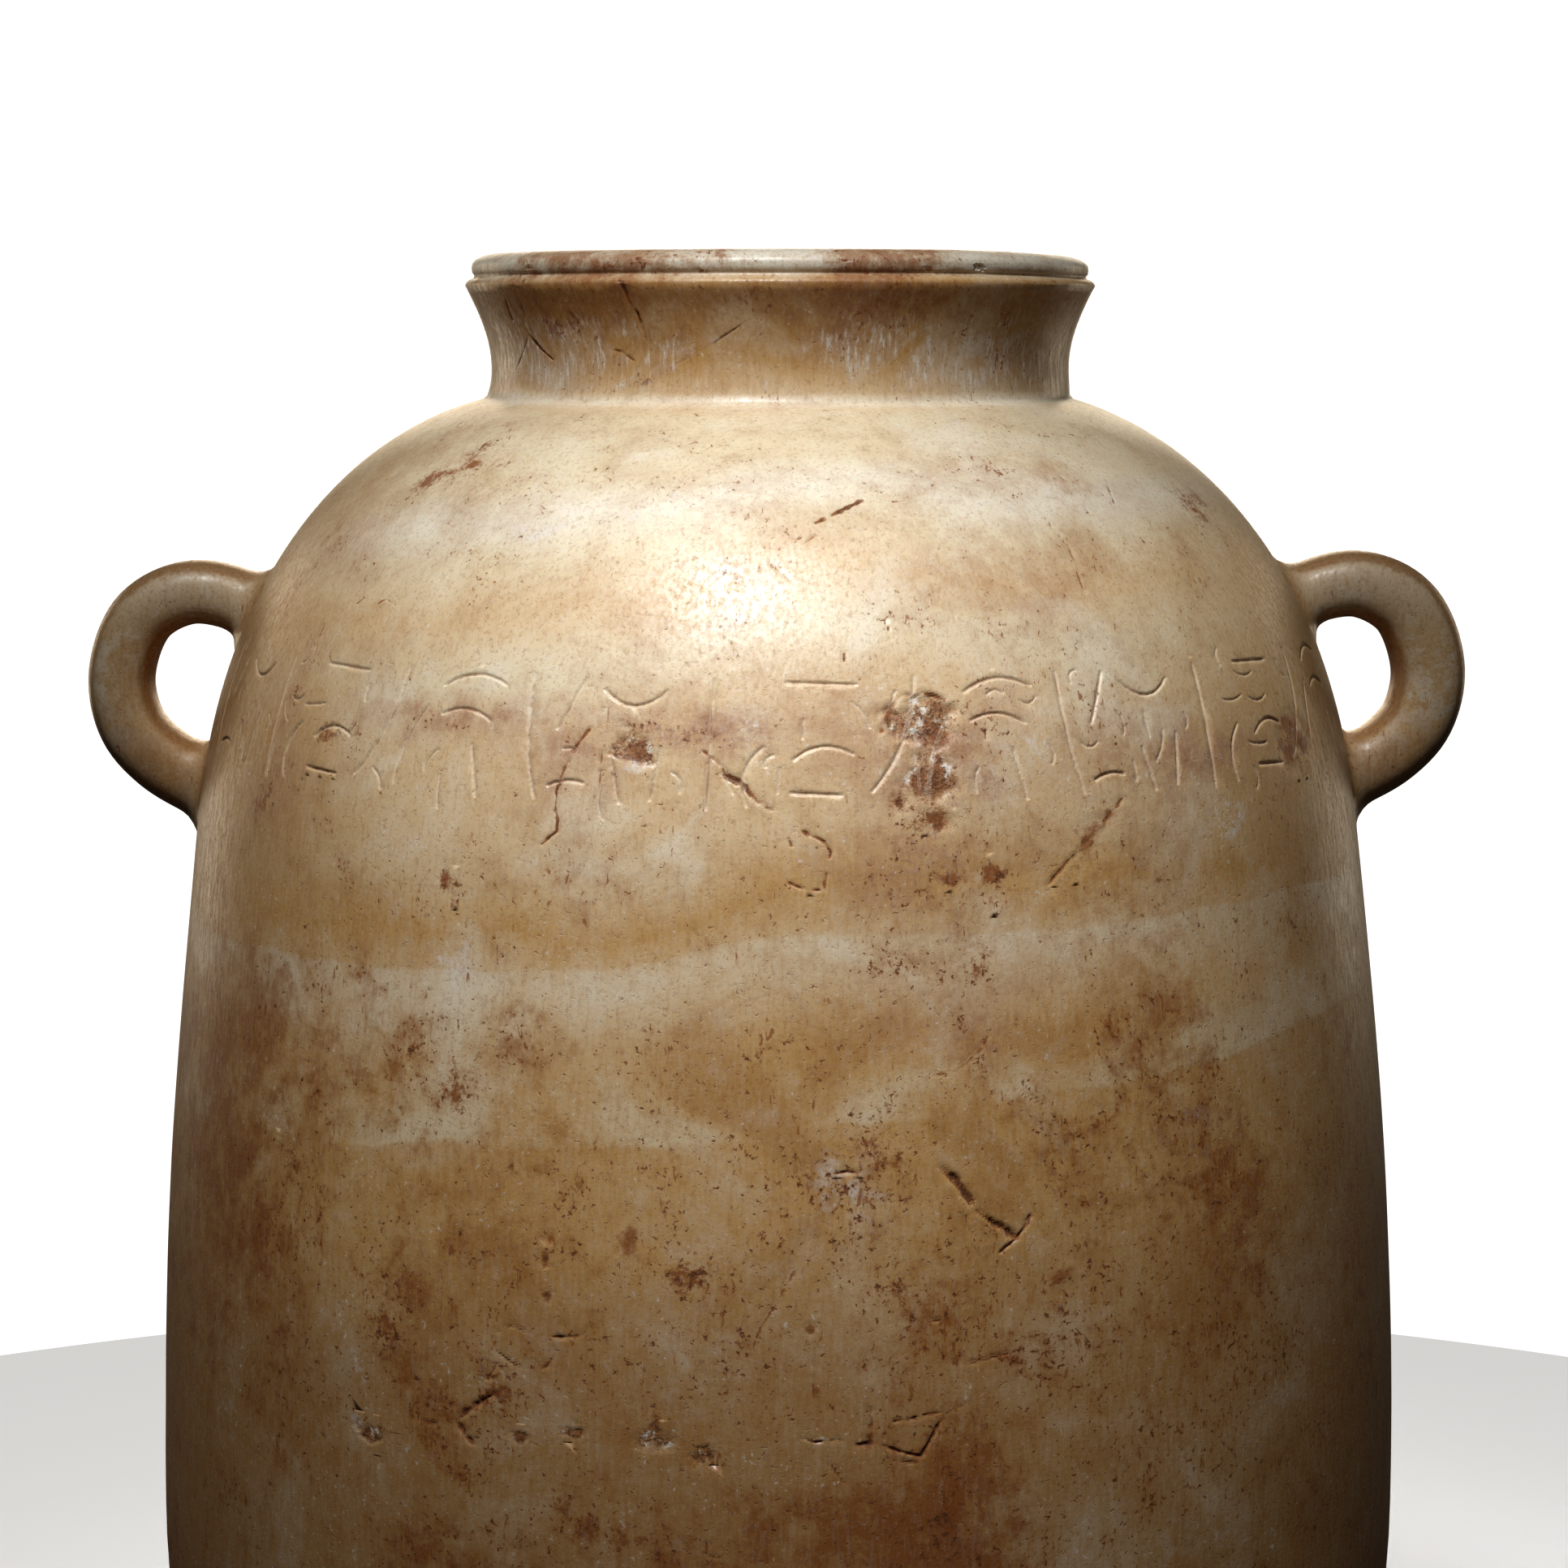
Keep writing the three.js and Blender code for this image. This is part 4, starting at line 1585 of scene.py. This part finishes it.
@dataclass(frozen=True)
class Calcite:
    """Banded calcite, polished long ago and since stained, scratched and scuffed, with some shade and
    highlights painted into its colour.
    """

    ivory: Colour = (0.86, 0.79, 0.64)
    cream: Colour = (0.79, 0.67, 0.46)
    peach: Colour = (0.73, 0.54, 0.315)
    honey: Colour = (0.60, 0.365, 0.140)
    amber: Colour = (0.41, 0.20, 0.056)
    rose: Colour = (0.43, 0.235, 0.135)
    tan: Colour = (0.48, 0.285, 0.115)
    rust: Colour = (0.30, 0.100, 0.022)
    umber: Colour = (0.13, 0.052, 0.019)
    chalk: Colour = (0.84, 0.79, 0.72)
    top: float = 0.53

    def layers(self) -> tuple[tuple[float, Colour], ...]:
        """The stone's layers at the front, as height in metres and colour.

        Returns:
            The layers from the foot up.
        """
        return (
            (0.0, self.tan),
            (0.225, self.tan),
            (0.262, self.honey),
            (0.305, self.honey),
            (0.335, self.peach),
            (0.350, self.honey),
            (0.364, self.peach),
            (0.398, self.peach),
            (0.415, self.cream),
            (0.428, self.peach),
            (0.441, self.cream),
            (0.452, self.ivory),
            (0.463, self.cream),
            (0.480, self.cream),
            (0.488, self.peach),
            (0.497, self.honey),
            (0.508, self.honey),
            (0.515, self.amber),
            (0.520, self.honey),
            (0.523, self.ivory),
        )

    def bands(self, g: Graph, place: bpy.types.NodeSocket) -> bpy.types.NodeSocket:
        """Lays the layers, with the two crisp wavy edges that run round the jar, and painted shade
        towards the left and right sides of the body and the neck.

        Args:
            g: the material's graph.
            place: object coordinates.

        Returns:
            The colour.
        """
        parts = g.node("ShaderNodeSeparateXYZ", {}, {"Vector": place})
        x, z = Value(g, parts.outputs["X"]), Value(g, parts.outputs["Z"])
        rise = x.between(-0.044, 0.006) * 0.0095 + (x + 0.03).min(0.0) * 0.055
        calm = 1.0 - z.between(0.462, 0.486) * 0.92
        drift = (g.noise(place, 6.0, 3.0) - 0.5) * 0.045 + (g.noise(place, 26.0, 4.0) - 0.5) * 0.013
        level = z - rise * calm + drift * calm
        stops = tuple((height / self.top, colour) for height, colour in self.layers())
        ramp = g.node("ShaderNodeValToRGB", {"stops": stops}, {"Fac": level / self.top})
        cloud = g.noise(place, 24.0, 5.0, 0.62, 0.7)
        upper = z.between(0.24, 0.37)
        throat = z.between(0.485, 0.492) * (1.0 - z.between(0.514, 0.522))
        wave = (g.noise(place, 17.0, 3.0, 0.5) - 0.5) * 0.011
        high, low = z - rise + wave, z - x * 0.10 + wave * 1.3
        high_edge = high.between(0.309, 0.3345) * (1.0 - high.between(0.3345, 0.3362))
        low_edge = low.between(0.2915, 0.2935) * (1.0 - low.between(0.294, 0.318))
        joint = z.between(0.4835, 0.4850) * (1.0 - z.between(0.4860, 0.4885))
        coats = (
            (self.ivory, cloud.between(0.48, 0.70) * (0.20 + upper * 0.34)),
            (self.amber, (1.0 - cloud.between(0.33, 0.47)) * (0.60 - upper * 0.36)),
            # painted shade: the next three coats warm and darken the shoulder, the body and the neck
            # towards their left and right sides
            (self.honey, x.abs().between(0.09, 0.16) * upper * 0.75),
            (self.amber, x.abs().between(0.12, 0.195) * 0.68),
            (self.amber, x.abs().between(0.030, 0.085) * throat * 0.55),
            (self.ivory, high_edge * (0.08 + cloud.between(0.34, 0.66) * 0.42)),
            (self.cream, low_edge * cloud.between(0.36, 0.64) * 0.60),
            (self.ivory, joint * 0.55),
        )
        return g.coats(ramp.outputs["Color"], coats)

    def material(self) -> bpy.types.Material:
        """Makes the material.

        Returns:
            The material, which reads object coordinates and the painted marks.
        """
        made = bpy.data.materials.new("banded_calcite")
        g = Graph.of(made)
        place = g.node("ShaderNodeTexCoord").outputs["Object"]
        marks = {mark: g.attribute(mark.value) for mark in Mark}
        grain = g.noise(place, 800.0, 4.0, 0.74)
        specks = g.noise(place, 560.0, 4.0, 0.66, 0.2)
        streak = self.streaks(g, place)
        colour = self.stained(g, place, self.bands(g, place), marks, grain, specks, streak)
        worn = marks[Mark.DIRT] * 0.35 + marks[Mark.SCAR] * 0.15 + marks[Mark.STAIN] * 0.12
        shine = streak.between(0.42, 0.60) * 0.55 + grain.between(0.42, 0.60) * 0.40
        shader = g.node(
            "ShaderNodeBsdfPrincipled",
            {},
            {
                "Base Color": colour,
                "Roughness": (0.30 + grain * 0.28 + streak * 0.16 + worn).min(0.95),
                "IOR": 1.55,
                "Subsurface Weight": 0.12,
                "Subsurface Radius": (1.0, 0.55, 0.25),
                "Subsurface Scale": 0.006,
                "Coat Weight": shine,
                "Coat Roughness": 0.34,
                "Normal": self.relief(g, marks, grain, specks, streak),
            },
        )
        g.node("ShaderNodeOutputMaterial", {}, {"Surface": shader.outputs["BSDF"]})
        return made

    def dashes(self, g: Graph, place: bpy.types.NodeSocket) -> Value:
        """Short slanting scratches that have taken dirt.

        Args:
            g: the material's graph.
            place: object coordinates.

        Returns:
            The noise that they are cut from.
        """
        turned = g.node(
            "ShaderNodeMapping",
            {"vector_type": "POINT"},
            {"Vector": place, "Rotation": (0.0, 0.75, 0.0), "Scale": (620.0, 500.0, 190.0)},
        )
        return g.noise(turned.outputs["Vector"], 1.0, 4.0, 0.62, 0.8)

    def streaks(self, g: Graph, place: bpy.types.NodeSocket) -> Value:
        """The fine upright scratches of the polish."""
        stretched = g.vector("MULTIPLY", {0: place, 1: (800.0, 800.0, 120.0)})
        return g.noise(stretched, 1.0, 3.0, 0.65)

    def stained(
        self,
        g: Graph,
        place: bpy.types.NodeSocket,
        colour: bpy.types.NodeSocket,
        marks: dict[Mark, Value],
        grain: Value,
        specks: Value,
        streak: Value,
    ) -> bpy.types.NodeSocket:
        """Lays stains, specks, scuffs and dirt over the bands, with painted shade on the handles' sides
        and lower parts and painted highlights on their tops, some pale patches, the scars and the strokes'
        rims.

        Args:
            g: the material's graph.
            place: object coordinates.
            colour: the bands' colour.
            marks: the painted marks.
            grain: the finest noise.
            specks: the dark specks.
            streak: the upright scratches.

        Returns:
            The colour.
        """
        parts = g.node("ShaderNodeSeparateXYZ", {}, {"Vector": place})
        y, z = Value(g, parts.outputs["Y"]), Value(g, parts.outputs["Z"])
        low = (1.0 - z.between(0.26, 0.40) * 0.74 + z.between(0.500, 0.512) * 0.6).min(1.0)
        zone = (g.noise(place, 9.0, 3.0, 0.55, 0.5) - 0.5) * 0.45
        blot = g.noise(place, 38.0, 6.0, 0.70, 0.6)
        fine = g.noise(place, 150.0, 5.0, 0.74)
        dapple = blot * 0.40 + fine * 0.35 + grain * 0.25
        spread = dapple + zone
        thin, pink, stained, pale, dirt, sign = (
            marks[m] for m in (Mark.HANDLE, Mark.PINK, Mark.STAIN, Mark.PALE, Mark.DIRT, Mark.SIGN)
        )
        veins = (blot * 0.45 + fine * 0.55).between(0.45, 0.56) * 0.55
        # painted highlight: the handles' tops are made paler
        crown = z.between(0.405, 0.430) * 0.35
        # painted shade: the handles' outer and inner faces, which turn away from the front
        edge = 1.0 - y.abs().between(0.0085, 0.0124) + (fine - 0.5) * 1.6
        # painted shade: the lower parts of the handles
        handle_low_shade = (1.0 - z.between(0.368, 0.402)) * 0.55 + (fine - 0.5) * 1.2
        speckled = (fine * 1.2 + grain * 1.4 - 0.85).between(0.0, 0.85)
        stain = (stained * 1.1 + (dapple - 0.5) * 7.5 - 0.48).between(0.0, 0.6)
        stain = (stain * stained.between(0.0, 0.35)).min(1.0)
        # pale scuffs, together with pale patches painted as highlights
        scuff_and_painted_highlight = (pale * 0.9 + (fine - 0.5) * 3.0 - 0.25).between(0.0, 0.8)
        neck = z.between(0.487, 0.492) * (1.0 - z.between(0.505, 0.513)) * blot.between(0.46, 0.60)
        pits = (specks - pale * 0.12 + (blot - 0.5) * 0.40).between(0.300, 0.335)
        dash = self.dashes(g, place) + (blot - 0.5) * 0.60 + low * 0.035 - 0.055
        gather = specks + (blot - 0.5) * 0.50 + low * 0.078 - 0.068 - thin * 0.05
        gather = gather + stained * 0.12 + marks[Mark.SCAR] * 0.12 + pink * 0.03
        scar = marks[Mark.SCAR].between(0.15, 0.6)
        halo = (dirt + (fine - 0.5) * dirt.between(0.0, 0.3)).between(0.25, 0.6)
        coats = (
            (self.rose, (zone * 4.0 + 0.1).between(0.0, 1.0) * low * 0.30),
            (self.amber, spread.between(0.45, 0.56) * low * 0.70),
            (self.rust, spread.between(0.52, 0.61) * low * 0.75),
            (self.chalk, (1.0 - spread.between(0.36, 0.45)) * 0.16),
            (self.peach, thin * 0.90),
            (self.honey, thin * 0.42),
            # pale veins of the stone with the painted highlight on the handles' tops, then painted shade
            # on their turned-away faces and lower parts
            (self.ivory, thin * veins.max(crown)),
            (self.amber, thin * edge.between(0.15, 0.95) * 0.80),
            (self.amber, thin * handle_low_shade.between(0.1, 0.7) * 0.75),
            (self.rose, (pink * speckled * 1.25).min(0.95)),
            (self.rust, stain * (0.25 + fine.between(0.38, 0.56) * 0.65)),
            (self.umber, stain * grain.between(0.54, 0.64) * 0.55),
            # chalk over pale scuffs and over the painted highlights
            (self.chalk, scuff_and_painted_highlight * pale.between(0.0, 0.3) * 0.65),
            (self.chalk, streak.between(0.50, 0.66) * (0.08 + neck * 0.6) + neck * 0.2),
            (self.rust, (1.0 - streak.between(0.36, 0.47)) * 0.14),
            (self.rust, (1.0 - grain.between(0.36, 0.47)) * 0.32),
            (self.chalk, grain.between(0.56, 0.68) * 0.16),
            (self.chalk, (1.0 - pits) * 0.45),
            (self.rust, dash.between(0.645, 0.67) * 0.75),
            (self.rust, gather.between(0.625, 0.660) * 0.80),
            (self.umber, gather.between(0.675, 0.72) * 0.75),
            (self.rust, scar * fine.between(0.38, 0.56) * 0.8),
            (self.umber, scar * grain.between(0.50, 0.57) * 0.8),
            # painted glints: white flecks in the scars
            (self.chalk, scar * (1.0 - fine.between(0.38, 0.44)) * 0.95),
            (self.rust, halo * 0.85),
            (self.umber, (dirt + (grain - 0.5) * 1.6).between(0.66, 0.90) * 0.8),
            # painted highlight: pale rims along the incised strokes
            (self.ivory, sign.between(0.05, 0.4) * 0.25),
            (self.rust, sign.between(0.5, 1.0) * dapple.between(0.44, 0.56) * 0.6),
        )
        return g.coats(colour, coats)

    def relief(
        self, g: Graph, marks: dict[Mark, Value], grain: Value, specks: Value, streak: Value
    ) -> bpy.types.NodeSocket:
        """The finest relief: pits, scratches and the worn grain.

        Args:
            g: the material's graph.
            marks: the painted marks.
            grain: the finest noise.
            specks: the dark specks, which are pits.
            streak: the upright scratches.

        Returns:
            The bumped normal's socket.
        """
        rough_part = 0.11 + marks[Mark.SCAR] * 1.1 + marks[Mark.DIRT] * 0.6 + marks[Mark.STAIN] * 0.12
        height = grain * (rough_part + 0.06) - specks.between(0.60, 0.68) * 0.20 + streak * 0.12
        return g.node(
            "ShaderNodeBump", {}, {"Strength": 0.5, "Distance": 0.0012, "Height": height}
        ).outputs["Normal"]


@dataclass(frozen=True)
class FloorPaint:
    """The plain pale paint of the studio's floor."""

    colour: Colour = (0.85, 0.84, 0.82)
    shade: Colour = (0.80, 0.79, 0.77)

    def material(self) -> bpy.types.Material:
        """Makes the material, with the faintest unevenness.

        Returns:
            The material.
        """
        made = bpy.data.materials.new("pale_floor")
        g = Graph.of(made)
        place = g.node("ShaderNodeTexCoord").outputs["Object"]
        cloud = g.noise(place, 3.0, 2.0)
        colour = g.mix(self.colour, self.shade, cloud * 0.3)
        shader = g.node("ShaderNodeBsdfPrincipled", {}, {"Base Color": colour, "Roughness": 0.75})
        g.node("ShaderNodeOutputMaterial", {}, {"Surface": shader.outputs["BSDF"]})
        return made


@dataclass(frozen=True)
class Studio:
    """The pale floor, the soft lights and the camera."""

    photo: Photo = field(default_factory=Photo)
    sensor: float = 36.0
    floor_radius: float = 0.75

    def floor(self) -> bpy.types.Object:
        """Lays a round pale floor that is not part of the object and throws no light on it.

        Returns:
            The floor's object.
        """
        bm = bmesh.new()
        bmesh.ops.create_circle(bm, cap_ends=True, segments=256, radius=self.floor_radius)
        floor = as_object("studio_floor", bm)
        floor.data.materials.append(FloorPaint().material())
        floor.visible_diffuse = False
        floor.visible_glossy = False
        return floor

    def lamp(
        self,
        name: str,
        place: Colour,
        aim: Colour,
        size: tuple[float, float],
        spread: float,
        watts: float,
        colour: Colour,
    ) -> bpy.types.Object:
        """Hangs one soft oblong light.

        Args:
            name: the light's name.
            place: where it hangs.
            aim: the point that it faces.
            size: its width and height.
            spread: how wide its beam opens, in degrees.
            watts: its power.
            colour: its colour.

        Returns:
            The light's object.
        """
        data = bpy.data.lights.new(name, "AREA")
        data.shape = "RECTANGLE"
        data.size, data.size_y = size
        data.spread = math.radians(spread)
        data.energy = watts
        data.color = colour
        lamp = bpy.data.objects.new(name, data)
        lamp.location = place
        lamp.rotation_mode = "QUATERNION"
        lamp.rotation_quaternion = (Vector(aim) - Vector(place)).to_track_quat("-Z", "Y")
        bpy.context.scene.collection.objects.link(lamp)
        return lamp

    def lights(self, floor: bpy.types.Object) -> None:
        """Hangs the key high in front, three weak lamps behind for the jar and one for the floor.

        Args:
            floor: the floor.
        """
        cool, warm, white = (0.98, 0.985, 1.0), (1.0, 0.84, 0.62), (1.0, 1.0, 1.0)
        self.lamp("key", (-0.13, -0.70, 1.38), (0.0, -0.18, 0.44), (0.40, 0.26), 26.0, 0.51, cool)
        behind = [
            self.lamp("back", (0.0, 1.9, 0.75), (0.0, 0.0, 0.28), (1.2, 0.8), 140.0, 6.0, warm),
            self.lamp("left", (-1.2, 1.3, 0.5), (0.0, 0.0, 0.28), (0.6, 0.8), 120.0, 1.4, warm),
            self.lamp("right", (1.2, 1.3, 0.5), (0.0, 0.0, 0.28), (0.6, 0.8), 120.0, 1.0, warm),
        ]
        over = self.lamp("over_floor", (0.0, 0.0, 3.0), (0.0, 0.0, 0.0), (2.5, 2.5), 180.0, 80.0, white)
        lit = bpy.data.collections.new("lit_floor")
        lit.objects.link(floor)
        over.light_linking.receiver_collection = lit
        unlit = bpy.data.collections.new("unlit_floor")
        unlit.objects.link(floor)
        unlit.collection_objects[0].light_linking.link_state = "EXCLUDE"
        for lamp in behind:
            lamp.light_linking.receiver_collection = unlit

    def sky(self) -> None:
        """Fills the room with weak light, and shows white behind the jar."""
        world = bpy.data.worlds.new("room")
        bpy.context.scene.world = world
        g = Graph.of(world)
        seen = Value(g, g.node("ShaderNodeLightPath").outputs["Is Camera Ray"])
        strength = 0.02 + seen * 0.98
        room = g.node("ShaderNodeBackground", {}, {"Color": (1.0, 0.985, 0.96, 1.0), "Strength": strength})
        g.node("ShaderNodeOutputWorld", {}, {"Surface": room.outputs["Background"]})

    def camera(self) -> None:
        """Sets the camera where the photograph was taken from."""
        data = bpy.data.cameras.new("photo_camera")
        data.sensor_width = self.sensor
        data.lens = self.photo.focal_pixels / self.photo.side * self.sensor
        camera = bpy.data.objects.new("photo_camera", data)
        camera.location = self.photo.eye
        camera.rotation_euler = (math.radians(90 - self.photo.pitch), 0.0, 0.0)
        bpy.context.scene.collection.objects.link(camera)
        bpy.context.scene.camera = camera

    def build(self) -> None:
        """Sets up the whole studio."""
        self.lights(self.floor())
        self.sky()
        self.camera()
        bpy.context.scene.view_settings.view_transform = "Standard"
        bpy.context.scene.view_settings.look = "Medium High Contrast"


def main() -> None:
    """Builds the studio and the jar."""
    logging.basicConfig(level=logging.INFO, format="%(name)s: %(message)s")
    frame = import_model()
    log.info("frame has %s", sorted(frame["nodes"]))
    Studio().build()
    log.info("studio is set")
    jar = Jar().build()
    jar.data.materials.append(Calcite().material())
    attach(jar, "root")
    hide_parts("jar")
    jar.data.calc_loop_triangles()
    log.info("%s: %d triangles", jar.name, len(jar.data.loop_triangles))


if __name__ == "__main__":
    main()
